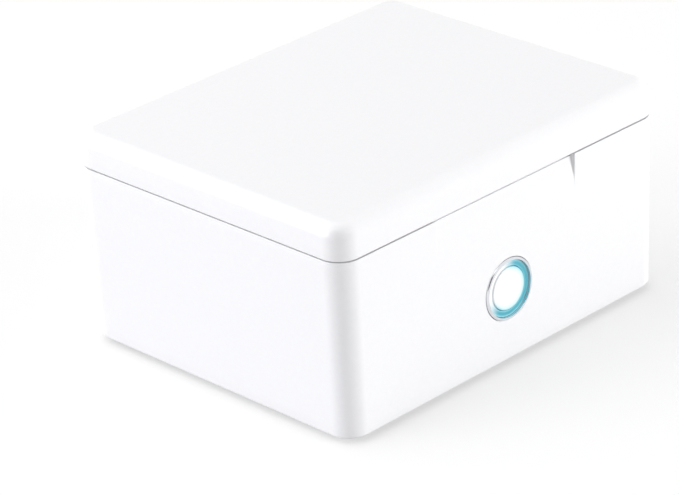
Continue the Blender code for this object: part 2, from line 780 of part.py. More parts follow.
def cover_screw_seat(x, y):
    """The stepped hole for a cover screw and its head."""
    shoulder = SHELL_BOTTOM + SCREW_HEAD_HEIGHT + GAP
    shank = SCREW_RADIUS + SCREW_CLEARANCE
    head = SCREW_HEAD_RADIUS + GAP
    profile = [
        (head, SHELL_BOTTOM - OVERRUN),
        (head, shoulder),
        (shank, shoulder),
        (shank, COVER_TOP + OVERRUN),
    ]
    return turned(profile, "Z", (x, y), SMALL_SIDES)


def grille():
    """The air slots under the fan, each as long as the fan's bore is wide there."""
    slots = []
    pitch = GRILLE_SLOT + GRILLE_BAR
    reach = FAN_BORE_RADIUS - GRILLE_BAR
    for place in row_of_places(count_in(2 * reach, pitch), pitch):
        half_length = math.sqrt(reach**2 - place**2)
        low = (-half_length, FAN_Y + place - GRILLE_SLOT / 2, SHELL_BOTTOM - OVERRUN)
        high = (half_length, FAN_Y + place + GRILLE_SLOT / 2, COVER_TOP + OVERRUN)
        slots.append(block(low, high))
    return together(slots)


def cover_screws():
    """The four screws that hold the bottom cover."""
    bearing = SHELL_BOTTOM + SCREW_HEAD_HEIGHT
    for name, place in cover_screw_places().items():
        tip = COVER_TOP + GAP + SCREW_BITE
        screw(f"cover_screw_{name}", bearing, tip, "Z", place, -1)


def feet():
    """Four rubber feet in their seats under the cover."""
    top = SHELL_BOTTOM + FOOT_SEAT - GAP
    for name, place in foot_places().items():
        add(f"foot_{name}", rod(FOOT_RADIUS, 0.0, top, "Z", place, ROUND_SIDES), "rubber")


def chamber_tub():
    """The pressed chamber, hung by its flange, with air slots and the lamp's opening."""
    rings = [
        chamber_ring(CHAMBER_BOTTOM),
        chamber_ring(FLANGE_BOTTOM),
        chamber_ring(FLANGE_BOTTOM, FLANGE_WIDTH),
        chamber_ring(SEAM_Z, FLANGE_WIDTH),
        chamber_ring(SEAM_Z, -CHAMBER_WALL),
        chamber_ring(CHAMBER_FLOOR, -CHAMBER_WALL),
    ]
    tub = add("chamber_tub", loft(rings), "aluminium")
    slots = []
    pitch = CHAMBER_SLOT + CHAMBER_BAR
    reach = FAN_SIZE / 2 - HEATER_WALL - CHAMBER_BAR
    for place in row_of_places(count_in(2 * reach, pitch), pitch):
        low = (-reach, FAN_Y + place - CHAMBER_SLOT / 2, CHAMBER_BOTTOM - OVERRUN)
        high = (reach, FAN_Y + place + CHAMBER_SLOT / 2, CHAMBER_FLOOR + OVERRUN)
        slots.append(block(low, high))
    cut(tub, together(slots))
    vents = []
    bottom = FLANGE_BOTTOM - CHAMBER_BAR - VENT_LENGTH
    for side in (-1, 1):
        for place in row_of_places(VENT_COUNT, pitch):
            wall_x = side * CHAMBER_HALF_WIDTH
            y = CHAMBER_Y + place
            reach_x = CHAMBER_WALL + OVERRUN
            low = (wall_x - reach_x, y - CHAMBER_SLOT / 2, bottom)
            high = (wall_x + reach_x, y + CHAMBER_SLOT / 2, bottom + VENT_LENGTH)
            vents.append(block(low, high))
    cut(tub, together(vents))
    half_x = LAMP_WINDOW_WIDTH / 2 - LAMP_WINDOW_LAP
    half_z = LAMP_WINDOW_HEIGHT / 2 - LAMP_WINDOW_LAP
    low = (-half_x, CHAMBER_REAR - CHAMBER_WALL - OVERRUN, LAMP_Z - half_z)
    high = (half_x, CHAMBER_REAR + OVERRUN, LAMP_Z + half_z)
    cut(tub, block(low, high))
    return tub


def drying_tray():
    """The lift-out tray: a slotted floor, a rim and a rib between its two bays."""
    inset = CHAMBER_WALL + TRAY_CLEARANCE
    bottom = CHAMBER_FLOOR + GAP
    floor_bottom = bottom + TRAY_RAISE
    floor_top = floor_bottom + TRAY_FLOOR
    top = bottom + TRAY_HEIGHT
    rings = [
        chamber_ring(floor_bottom, -inset - TRAY_WALL),
        chamber_ring(bottom, -inset - TRAY_WALL),
        chamber_ring(bottom, -inset),
        chamber_ring(top, -inset),
        chamber_ring(top, -inset - TRAY_WALL),
        chamber_ring(floor_top, -inset - TRAY_WALL),
    ]
    tray = add("drying_tray", loft(rings), "liner_plastic")
    half_depth = CHAMBER_HALF_DEPTH - inset - TRAY_WALL / 2
    low = (-TRAY_RIB / 2, CHAMBER_Y - half_depth, floor_top - TRAY_FLOOR / 2)
    high = (TRAY_RIB / 2, CHAMBER_Y + half_depth, top)
    join(tray, block(low, high))
    bay_half = (CHAMBER_HALF_WIDTH - inset - TRAY_WALL - TRAY_RIB / 2) / 2
    slots = []
    pitch = TRAY_SLOT + TRAY_BAR
    count = count_in(2 * (CHAMBER_HALF_DEPTH - CHAMBER_RADIUS), pitch)
    for side in (-1, 1):
        bay_x = side * (TRAY_RIB / 2 + bay_half)
        for place in row_of_places(count, pitch):
            y = CHAMBER_Y + place
            reach = bay_half - TRAY_BAR
            low = (bay_x - reach, y - TRAY_SLOT / 2, floor_bottom - OVERRUN)
            high = (bay_x + reach, y + TRAY_SLOT / 2, floor_top + OVERRUN)
            slots.append(block(low, high))
    cut(tray, together(slots))
    return tray


def heater():
    """The heater on top of the fan: a frame, a ceramic element and its two packs of fins."""
    reach = FAN_SIZE / 2
    inner = reach - HEATER_WALL
    rings = []
    for half, height in (
        (reach, HEATER_BOTTOM),
        (reach, HEATER_TOP),
        (inner, HEATER_TOP),
        (inner, HEATER_BOTTOM),
    ):
        rings.append(rounded(half, half, HEATER_WALL, height, FAN_Y))
    frame = add("heater_frame", loft(rings, closed=True), "dark_plastic")
    ear_top = HEATER_TOP - SCREW_HEAD_HEIGHT - 2 * GAP
    ears = []
    recesses = []
    for place in fan_screw_places().values():
        radius = SCREW_RADIUS + SCREW_BOSS_WALL
        ears.append(rod(radius, HEATER_BOTTOM, ear_top, "Z", place))
        recesses.append(heater_screw_seat(ear_top, place))
    join(frame, together(ears))
    cut(frame, together(recesses))
    middle = HEATER_BOTTOM + HEATER_HEIGHT / 2
    half = HEATER_ELEMENT_HEIGHT / 2
    low = (-inner + GAP, FAN_Y - HEATER_ELEMENT_WIDTH / 2, middle - half)
    high = (inner - GAP, FAN_Y + HEATER_ELEMENT_WIDTH / 2, middle + half)
    add("heater_element", block(low, high), "ceramic")
    for name, side in (("front", -1), ("rear", 1)):
        start = FAN_Y + side * (HEATER_ELEMENT_WIDTH / 2 + GAP)
        fins = prism(fin_outline(start, side), middle - FIN_HEIGHT / 2, middle + FIN_HEIGHT / 2)
        add(f"heater_fins_{name}", fins, "aluminium")


def heater_screw_seat(ear_top, place):
    """The hole and the head's room for a screw that holds the heater and the fan."""
    shank = SCREW_RADIUS + SCREW_CLEARANCE
    head = SCREW_HEAD_RADIUS + GAP
    profile = [
        (shank, HEATER_BOTTOM - OVERRUN),
        (shank, ear_top),
        (head, ear_top),
        (head, HEATER_TOP + OVERRUN),
    ]
    return turned(profile, "Z", place, SMALL_SIDES)


def fin_outline(start, side):
    """A comb seen from above: a base bar along the element and fins that stand out from it."""
    half_span = ((FIN_COUNT - 1) * FIN_PITCH + FIN_THICKNESS) / 2
    root = start + side * FIN_BASE
    tip = root + side * FIN_LENGTH
    outline = [(-half_span, start)]
    for x in row_of_places(FIN_COUNT, FIN_PITCH):
        left = x - FIN_THICKNESS / 2
        right = x + FIN_THICKNESS / 2
        outline += [(left, root), (left, tip), (right, tip), (right, root)]
    outline.append((half_span, start))
    return outline


def fan():
    """The fan: a square housing with a bearing on three spokes, and a rotor that turns in it."""
    reach = FAN_SIZE / 2
    low = (-reach, FAN_Y - reach, FAN_BOTTOM)
    high = (reach, FAN_Y + reach, FAN_TOP)
    housing = add("fan_housing", block(low, high), "dark_plastic")
    centre = (0.0, FAN_Y)
    bore_bottom = FAN_BOTTOM - OVERRUN
    bore_top = FAN_TOP + OVERRUN
    cut(housing, rod(FAN_BORE_RADIUS, bore_bottom, bore_top, "Z", centre, ROUND_SIDES))
    holes = []
    for x, y in corner_places(FAN_SCREW_SPACING / 2, FAN_SCREW_SPACING / 2).values():
        holes.append(screw_hole(bore_bottom, bore_top, "Z", (x, FAN_Y + y)))
    cut(housing, together(holes))
    bearing_radius = FAN_SHAFT_RADIUS + FAN_SHAFT_CLEARANCE + FAN_BEARING_WALL
    boss_radius = bearing_radius + GAP + FAN_BOSS_WALL
    spoke_top = FAN_BOTTOM + FAN_SPOKE_THICKNESS
    join(housing, rod(FAN_HUB_RADIUS, FAN_BOTTOM, spoke_top, "Z", centre, ROUND_SIDES))
    join(housing, together([fan_spoke(i, spoke_top) for i in range(FAN_SPOKES)]))
    bearing_bottom = FAN_BOTTOM + FAN_SPOKE_THICKNESS / 2
    bearing_top = bearing_bottom + FAN_BEARING_LENGTH
    join(housing, rod(boss_radius, FAN_BOTTOM, bearing_top - GAP, "Z", centre, SMALL_SIDES))
    pocket_radius = bearing_radius + GAP
    cut(housing, rod(pocket_radius, bearing_bottom - GAP, bearing_top, "Z", centre, SMALL_SIDES))
    bore = FAN_SHAFT_RADIUS + FAN_SHAFT_CLEARANCE
    sleeve = [
        (bore, bearing_bottom),
        (bearing_radius, bearing_bottom),
        (bearing_radius, bearing_top),
        (bore, bearing_top),
    ]
    add("fan_bearing", turned(sleeve, "Z", centre, SMALL_SIDES, closed=True), "brass")
    rotor_bottom = spoke_top + GAP
    rotor_top = FAN_TOP - FAN_TIP_CLEARANCE
    fan_rotor(centre, boss_radius, bearing_bottom, bearing_top, rotor_bottom, rotor_top)


def fan_spoke(number, top):
    """One spoke from the housing's ring to the disc in the middle."""
    angle = math.tau * number / FAN_SPOKES
    along = Vector((math.cos(angle), math.sin(angle)))
    across = Vector((-along.y, along.x)) * (FAN_SPOKE_WIDTH / 2)
    inner = along * (FAN_HUB_RADIUS - OVERRUN)
    outer = along * (FAN_BORE_RADIUS + OVERRUN / 2)
    corners = [inner - across, outer - across, outer + across, inner + across]
    return prism([(corner.x, FAN_Y + corner.y) for corner in corners], FAN_BOTTOM, top)


def fan_rotor(centre, boss_radius, bearing_bottom, bearing_top, bottom, top):
    """The hub with its shaft and its ring of slanted blades. It turns about its own origin."""
    room = boss_radius + FAN_HUB_CLEARANCE
    roof = top - FAN_HUB_ROOF
    shaft_tip = bearing_bottom + FAN_HUB_CLEARANCE
    hub = [
        (FAN_SHAFT_RADIUS, shaft_tip),
        (FAN_SHAFT_RADIUS, roof),
        (room, roof),
        (room, bottom),
        (FAN_HUB_RADIUS, bottom),
        (FAN_HUB_RADIUS, top),
    ]
    origin = (*centre, bearing_top)
    rotor = add("fan_rotor", turned(hub, "Z", centre, ROUND_SIDES), "dark_plastic", origin)
    blades = [fan_blade(i, room, bottom, top) for i in range(FAN_BLADES)]
    join(rotor, together(blades))


def fan_blade(number, room, bottom, top):
    """One flat blade, slanted to the shaft and wider at its tip."""
    root_radius = (room + FAN_HUB_RADIUS) / 2
    tip_radius = FAN_BORE_RADIUS - FAN_TIP_CLEARANCE - FAN_BLADE_THICKNESS / 2
    low = bottom + FAN_TIP_CLEARANCE
    high = top - FAN_TIP_CLEARANCE
    turn = math.tau * number / FAN_BLADES
    rings = []
    for radius, sweep in ((root_radius, FAN_BLADE_ROOT_SWEEP), (tip_radius, FAN_BLADE_TIP_SWEEP)):
        half = FAN_BLADE_THICKNESS / 2
        flat = math.sqrt(radius**2 - sweep**2)
        ring = []
        for across, height in (
            (-sweep - half, low),
            (-sweep + half, low),
            (sweep + half, high),
            (sweep - half, high),
        ):
            x = flat * math.cos(turn) - across * math.sin(turn)
            y = flat * math.sin(turn) + across * math.cos(turn)
            ring.append((x, FAN_Y + y, height))
        rings.append(ring)
    return loft(rings)


def fan_screws():
    """Two long screws through the heater and the fan into the cover's posts."""
    bearing = HEATER_TOP - SCREW_HEAD_HEIGHT - GAP
    tip = FAN_BOTTOM - SCREW_BITE
    for name, place in fan_screw_places().items():
        screw(f"fan_screw_{name}", bearing, tip, "Z", place, 1)


def main_board():
    """The board at the rear, its screws, the power socket and the parts on it."""
    low = (-BOARD_HALF_WIDTH, BOARD_FRONT, BOARD_BOTTOM)
    high = (BOARD_HALF_WIDTH, BOARD_REAR, BOARD_TOP)
    board = add("main_board", block(low, high), "circuit_board")
    sides = {"left": -BOARD_SCREW_X, "right": BOARD_SCREW_X}
    holes = []
    for x in sides.values():
        holes.append(screw_hole(BOARD_BOTTOM - OVERRUN, BOARD_TOP + OVERRUN, "Z", (x, BOARD_SCREW_Y)))
    cut(board, together(holes))
    tip = BOARD_BOTTOM - SCREW_BITE
    for name, x in sides.items():
        screw(f"board_screw_{name}", BOARD_TOP + GAP, tip, "Z", (x, BOARD_SCREW_Y), 1)
    usb_socket()
    half = CHIP_WIDTH / 2
    chip_x = -USB_WIDTH / 2 - CHIP_SPACE - half
    low = (chip_x - half, BOARD_MIDDLE - half, PART_BOTTOM)
    high = (chip_x + half, BOARD_MIDDLE + half, PART_BOTTOM + CHIP_THICKNESS)
    add("controller_chip", block(low, high), "dark_plastic")
    place = (BOARD_HALF_WIDTH / 2, BOARD_MIDDLE)
    can = rod(CAPACITOR_RADIUS, PART_BOTTOM, PART_BOTTOM + CAPACITOR_HEIGHT, "Z", place, ROUND_SIDES)
    add("capacitor", can, "aluminium")
    for name, (x, y) in connector_places().items():
        half_x = CONNECTOR_WIDTH / 2
        half_y = CONNECTOR_DEPTH / 2
        low = (x - half_x, y - half_y, PART_BOTTOM)
        high = (x + half_x, y + half_y, PART_BOTTOM + CONNECTOR_HEIGHT)
        add(f"{name}_connector", block(low, high), "liner_plastic")


def connector_places():
    """The middle of each connector on the main board."""
    edge_y = BOARD_FRONT + GAP + CONNECTOR_DEPTH / 2
    side_x = BOARD_HALF_WIDTH - CONNECTOR_WIDTH
    rear_y = BOARD_REAR - GAP - CONNECTOR_DEPTH / 2
    lamp_x = USB_WIDTH / 2 + CONNECTOR_WIDTH
    return {"fan": (side_x, edge_y), "button": (-side_x, edge_y), "lamp": (lamp_x, rear_y)}


def usb_socket():
    """The power socket: a metal shell that is open to the rear, with a contact tongue inside."""
    mouth_y = shell_half_size(PART_BOTTOM)[1] - USB_SETBACK
    back_y = mouth_y - USB_LENGTH
    socket = add("usb_socket", loft([usb_ring(y) for y in (back_y, mouth_y)]), "steel")
    floor_y = mouth_y - USB_MOUTH_DEPTH
    cut(socket, loft([usb_ring(y, USB_SHELL) for y in (floor_y, mouth_y + OVERRUN)]))
    middle = PART_BOTTOM + USB_HEIGHT / 2
    half_x = USB_TONGUE_WIDTH / 2
    half_z = USB_TONGUE_THICKNESS / 2
    low = (-half_x, floor_y - (USB_LENGTH - USB_MOUTH_DEPTH) / 2, middle - half_z)
    high = (half_x, mouth_y - USB_TONGUE_SETBACK, middle + half_z)
    join(socket, block(low, high))


def usb_ring(y, inset=0.0):
    """The power socket's outline with round ends, or a line inside it."""
    half_height = USB_HEIGHT / 2 - inset
    ring = rounded(USB_WIDTH / 2 - inset, half_height, half_height * USB_ROUND_SHARE, 0.0)
    return [(point[0], y, PART_BOTTOM + USB_HEIGHT / 2 + point[1]) for point in ring]


def bezel_ring():
    """The bright ring round the button, let in from inside and held by its lip."""
    inner = BEZEL_RADIUS - BEZEL_WIDTH
    front = FACE_Y - BEZEL_PROUD
    edge = BEZEL_WIDTH / 4
    profile = [
        (inner, front + edge),
        (inner + edge, front),
        (BEZEL_RADIUS - edge, front),
        (BEZEL_RADIUS, front + edge),
        (BEZEL_RADIUS, FRONT_WALL_Y + GAP),
        (BEZEL_LIP_RADIUS, FRONT_WALL_Y + GAP),
        (BEZEL_LIP_RADIUS, BEZEL_BACK_Y),
        (inner, BEZEL_BACK_Y),
    ]
    add("bezel_ring", turned(profile, "Y", (0.0, BUTTON_Z), ROUND_SIDES, closed=True), "chrome")


def light_ring():
    """The clear pipe that carries light from the board to the ring round the button."""
    pipe_back = BUTTON_BOARD_Y - 2 * GAP - BUTTON_LED_THICKNESS
    lip = RING_OUTER_RADIUS + LIGHT_RING_LIP_WIDTH
    centre = (0.0, BUTTON_Z)
    profile = [
        (RING_INNER_RADIUS, FACE_Y + LIGHT_RING_SUNK),
        (RING_OUTER_RADIUS, FACE_Y + LIGHT_RING_SUNK),
        (RING_OUTER_RADIUS, RING_LIP_Y),
        (lip, RING_LIP_Y),
        (lip, RING_LIP_BACK_Y),
        (RING_OUTER_RADIUS, RING_LIP_BACK_Y),
        (RING_OUTER_RADIUS, pipe_back),
        (RING_INNER_RADIUS, pipe_back),
    ]
    ring = add("light_ring", turned(profile, "Y", centre, ROUND_SIDES, closed=True), "light_pipe")
    half_width = CAP_TAB_WIDTH / 2 + CAP_TAB_CLEARANCE
    reach = RING_OUTER_RADIUS + OVERRUN
    low = (-reach, CAP_TAB_Y - CAP_TAB_CLEARANCE, BUTTON_Z - half_width)
    high = (reach, pipe_back + OVERRUN, BUTTON_Z + half_width)
    cut(ring, block(low, high))


def button(carrier):
    """The cap with its two guide tabs, and the plunger of the switch that it presses."""
    centre = (0.0, BUTTON_Z)
    profile = [
        (CAP_RADIUS - CAP_EDGE_RADIUS, FACE_Y),
        (CAP_RADIUS - CAP_EDGE_RADIUS / 4, FACE_Y + CAP_EDGE_RADIUS / 4),
        (CAP_RADIUS, FACE_Y + CAP_EDGE_RADIUS),
        (CAP_RADIUS, CAP_BACK_Y),
    ]
    origin = (0.0, FACE_Y, BUTTON_Z)
    cap = add("button_cap", turned(profile, "Y", centre, ROUND_SIDES), "white_plastic", origin, carrier)
    reach = CAP_RADIUS + CAP_TAB_REACH
    low = (-reach, CAP_TAB_Y, BUTTON_Z - CAP_TAB_WIDTH / 2)
    high = (reach, CAP_BACK_Y, BUTTON_Z + CAP_TAB_WIDTH / 2)
    join(cap, block(low, high))
    plunger = rod(PLUNGER_RADIUS, PLUNGER_Y, PLUNGER_Y + PLUNGER_LENGTH, "Y", centre)
    add("switch_plunger", plunger, "dark_plastic", (0.0, PLUNGER_Y, BUTTON_Z), carrier)


def button_bracket():
    """The plate that clamps the light ring, with a post for the board at each screw."""
    low = (-BRACKET_HALF_WIDTH, BRACKET_Y, BUTTON_Z - BRACKET_HALF_HEIGHT)
    high = (BRACKET_HALF_WIDTH, BRACKET_BACK_Y, BUTTON_Z + BRACKET_HALF_HEIGHT)
    bracket = add("button_bracket", block(low, high), "dark_plastic")
    posts = []
    holes = []
    post_start = BRACKET_Y + BRACKET_THICKNESS / 2
    for x in (-BUTTON_POST_X, BUTTON_POST_X):
        place = (x, BUTTON_Z)
        posts.append(rod(BUTTON_POST_RADIUS, post_start, BUTTON_BOARD_Y - GAP, "Y", place))
        holes.append(screw_hole(BRACKET_Y - OVERRUN, BUTTON_BOARD_Y, "Y", place))
    join(bracket, together(posts))
    hole = RING_OUTER_RADIUS + GAP
    centre = (0.0, BUTTON_Z)
    cut(bracket, rod(hole, BRACKET_Y - OVERRUN, BRACKET_BACK_Y + OVERRUN, "Y", centre, ROUND_SIDES))
    cut(bracket, together(holes))


def button_board():
    """The small board behind the button, with its switch, lights, screws and lid sensor."""
    low = (-BRACKET_HALF_WIDTH, BUTTON_BOARD_Y, BUTTON_Z - BUTTON_BOARD_DROP)
    high = (BRACKET_HALF_WIDTH, BUTTON_BOARD_BACK_Y, BUTTON_BOARD_TOP)
    board = add("button_board", block(low, high), "circuit_board")
    holes = []
    for x in (-BUTTON_POST_X, BUTTON_POST_X):
        holes.append(screw_hole(BUTTON_BOARD_Y - OVERRUN, BUTTON_SCREW_Y, "Y", (x, BUTTON_Z)))
    cut(board, together(holes))
    half = SWITCH_WIDTH / 2
    low = (-half, SWITCH_Y, BUTTON_Z - half)
    high = (half, SWITCH_BACK_Y, BUTTON_Z + half)
    switch = add("switch_body", block(low, high), "dark_plastic")
    hole = PLUNGER_RADIUS + PLUNGER_CLEARANCE
    floor_y = PLUNGER_Y + PLUNGER_LENGTH + BUTTON_TRAVEL + GAP
    cut(switch, rod(hole, SWITCH_Y - OVERRUN, floor_y, "Y", (0.0, BUTTON_Z)))
    place = (RING_OUTER_RADIUS + RING_INNER_RADIUS) / 2 * math.cos(math.radians(45))
    led_y = BUTTON_BOARD_Y - GAP - BUTTON_LED_THICKNESS
    for name, (x, z) in corner_names_upright(place).items():
        half = BUTTON_LED_WIDTH / 2
        low = (x - half, led_y, BUTTON_Z + z - half)
        high = (x + half, led_y + BUTTON_LED_THICKNESS, BUTTON_Z + z + half)
        add(f"ring_led_{name}", block(low, high), "ceramic")
    tip = BRACKET_Y - SCREW_BITE
    for name, x in (("left", -BUTTON_POST_X), ("right", BUTTON_POST_X)):
        screw(f"button_screw_{name}", BUTTON_SCREW_Y, tip, "Y", (x, BUTTON_Z), 1)
    top = BUTTON_BOARD_TOP - SENSOR_MARGIN
    low = (MAGNET_XS["right"] - SENSOR_WIDTH, BUTTON_SCREW_Y, top - SENSOR_HEIGHT)
    high = (MAGNET_XS["right"], BUTTON_SCREW_Y + SENSOR_THICKNESS, top)
    add("lid_sensor", block(low, high), "dark_plastic")


def corner_names_upright(place):
    """Four places round the button, named as they lie seen from the front."""
    places = {}
    for side_z, end in ((1, "upper"), (-1, "lower")):
        for side_x, side in ((-1, "left"), (1, "right")):
            places[f"{end}_{side}"] = (side_x * place, side_z * place)
    return places


def lamp():
    """The lamp behind the chamber: a quartz window, the light source and its board."""
    half_x = LAMP_WINDOW_WIDTH / 2
    half_z = LAMP_WINDOW_HEIGHT / 2
    low = (-half_x, LAMP_WINDOW_Y, LAMP_Z - half_z)
    high = (half_x, LAMP_WINDOW_Y + LAMP_WINDOW_THICKNESS, LAMP_Z + half_z)
    add("lamp_window", block(low, high), "quartz")
    half = LAMP_LED_WIDTH / 2
    low = (-half, LAMP_LED_Y, LAMP_Z - half)
    high = (half, LAMP_LED_Y + LAMP_LED_THICKNESS, LAMP_Z + half)
    add("lamp_led", block(low, high), "ceramic")
    half_x = LAMP_BOARD_WIDTH / 2
    half_z = LAMP_BOARD_HEIGHT / 2
    low = (-half_x, LAMP_BOARD_Y, LAMP_Z - half_z)
    high = (half_x, LAMP_BOARD_BACK_Y, LAMP_Z + half_z)
    add("lamp_board", block(low, high), "circuit_board")


def hinge_pins():
    """The two steel pins that the lid turns on."""
    for name, x in HINGE_XS.items():
        reach = NOTCH_HALF_WIDTH + CHEEK_WIDTH
        pin = rod(PIN_RADIUS, x - reach, x + reach, "X", (HINGE_Y, HINGE_Z))
        add(f"hinge_pin_{name}", pin, "steel", (x, HINGE_Y, HINGE_Z))


def base_magnets():
    """The magnets in the deck's pockets."""
    top = SEAM_Z - MAGNET_COVER - GAP
    for name, x in MAGNET_XS.items():
        magnet = rod(MAGNET_RADIUS, top - MAGNET_THICKNESS, top, "Z", (x, MAGNET_Y), ROUND_SIDES)
        add(f"base_magnet_{name}", magnet, "chrome")


def lid_shell(carrier):
    """The lid's outer shell with its rounded upper edge and the two hinge knuckles."""
    rings = [
        lid_ring(LID_CEILING, LID_WALL),
        lid_ring(LID_BOTTOM, LID_WALL),
        lid_ring(LID_BOTTOM),
    ]
    for step in range(EDGE_STEPS + 1):
        angle = math.radians(90) * step / EDGE_STEPS
        inset = LID_EDGE_RADIUS * (1 - math.cos(angle))
        rings.append(lid_ring(HEIGHT - LID_EDGE_RADIUS * (1 - math.sin(angle)), inset))
    origin = (0.0, HINGE_Y, HINGE_Z)
    lid = add("lid_shell", loft(rings), "white_plastic", origin, carrier)
    join(lid, together([knuckle(x) for x in HINGE_XS.values()]))
    cut(lid, together([knuckle_bore(x) for x in HINGE_XS.values()]))
    posts = []
    for place in liner_post_places():
        posts.append(rod(LINER_POST_RADIUS, LINER_TOP + GAP, LID_CEILING + OVERRUN, "Z", place))
    join(lid, together(posts))


def liner_post_places():
    """Where the posts under the lid's roof reach down to the liner."""
    x = WIDTH / 2 - LID_WALL - LINER_POST_INSET
    y = DEPTH / 2 - LID_WALL - LINER_POST_INSET
    return list(corner_places(x, y).values())


def knuckle(x):
    """A hinge knuckle: a round barrel about the pin, on an arm that hangs from the lid's rear wall."""
    arm_inner = KNUCKLE_RADIUS - KNUCKLE_ARM
    end = math.tau - math.acos(arm_inner / KNUCKLE_RADIUS)
    top = LID_BOTTOM + OVERRUN
    outline = [(HINGE_Y + KNUCKLE_RADIUS, top)]
    for step in range(SMALL_SIDES + 1):
        angle = end * step / SMALL_SIDES
        y = HINGE_Y + KNUCKLE_RADIUS * math.cos(angle)
        z = HINGE_Z - KNUCKLE_RADIUS * math.sin(angle)
        outline.append((y, z))
    outline.append((HINGE_Y + arm_inner, top))
    return prism(outline, x - KNUCKLE_WIDTH / 2, x + KNUCKLE_WIDTH / 2, "X")


def knuckle_bore(x):
    """The bore through a knuckle, which runs freely on its pin."""
    reach = KNUCKLE_WIDTH / 2 + OVERRUN
    return rod(PIN_RADIUS + PIN_CLEARANCE, x - reach, x + reach, "X", (HINGE_Y, HINGE_Z))


def lid_liner(carrier):
    """The flat plate inside the lid, with the seal's groove and the magnets' pockets."""
    inset = LID_WALL + GAP
    rings = [lid_ring(LINER_BOTTOM, inset), lid_ring(LINER_TOP, inset)]
    origin = (0.0, HINGE_Y, HINGE_Z)
    liner = add("lid_liner", loft(rings), "liner_plastic", origin, carrier)
    roof = LINER_BOTTOM + SEAL_GROOVE_DEPTH
    cut(liner, seal_loop(LINER_BOTTOM - OVERRUN, roof, SEAL_GROOVE_CLEARANCE))
    pockets = []
    for x in MAGNET_XS.values():
        radius = MAGNET_RADIUS + MAGNET_CLEARANCE
        start = LINER_BOTTOM + MAGNET_COVER
        pockets.append(rod(radius, start, LINER_TOP + OVERRUN, "Z", (x, MAGNET_Y), ROUND_SIDES))
    cut(liner, together(pockets))


def seal_loop(bottom, top, clearance=0.0):
    """The loop over the middle of the chamber's flange, with some room added on both sides."""
    middle = FLANGE_WIDTH / 2
    outer = middle + SEAL_WIDTH / 2 + clearance
    inner = middle - SEAL_WIDTH / 2 - clearance
    rings = [
        chamber_ring(bottom, outer),
        chamber_ring(top, outer),
        chamber_ring(top, inner),
        chamber_ring(bottom, inner),
    ]
    return loft(rings, closed=True)


def lid_seal(carrier):
    """The silicone loop that closes the lid onto the chamber's flange."""
    top = LINER_BOTTOM + SEAL_GROOVE_DEPTH - GAP
    origin = (0.0, HINGE_Y, HINGE_Z)
    add("lid_seal", seal_loop(SEAM_Z + GAP, top), "silicone", origin, carrier)


def lid_magnets(carrier):
    """The magnets in the liner's pockets."""
    bottom = LINER_BOTTOM + MAGNET_COVER + GAP
    for name, x in MAGNET_XS.items():
        magnet = rod(MAGNET_RADIUS, bottom, bottom + MAGNET_THICKNESS, "Z", (x, MAGNET_Y), ROUND_SIDES)
        add(f"lid_magnet_{name}", magnet, "chrome", (0.0, HINGE_Y, HINGE_Z), carrier)


def smooth_route(route, steps):
    """Points on a smooth curve through the points of a route."""
    points = [Vector(point) for point in route]
    padded = [points[0] * 2 - points[1], *points, points[-1] * 2 - points[-2]]
    smooth = []
    for i in range(len(points) - 1):
        before, start, end, after = padded[i : i + 4]
        for step in range(steps):
            t = step / steps
            bend = 2 * before - 5 * start + 4 * end - after
            twist = 3 * start - 3 * end + after - before
            smooth.append(start + ((end - before) * t + bend * t**2 + twist * t**3) / 2)
    smooth.append(points[-1])
    return smooth


def lead(name, route):
    """A jacketed pair of wires as one round tube along its route."""
    points = smooth_route(route, LEAD_STEPS)
    curve = bpy.data.curves.new(name, "CURVE")
    curve.dimensions = "3D"
    curve.bevel_depth = LEAD_RADIUS
    curve.bevel_resolution = LEAD_SIDE_STEPS
    curve.use_fill_caps = True
    curve.materials.append(finish("lead_jacket"))
    spline = curve.splines.new("POLY")
    spline.points.add(len(points) - 1)
    for target, point in zip(spline.points, points):
        target.co = (*point, 1)
    obj = bpy.data.objects.new(name, curve)
    bpy.context.collection.objects.link(obj)


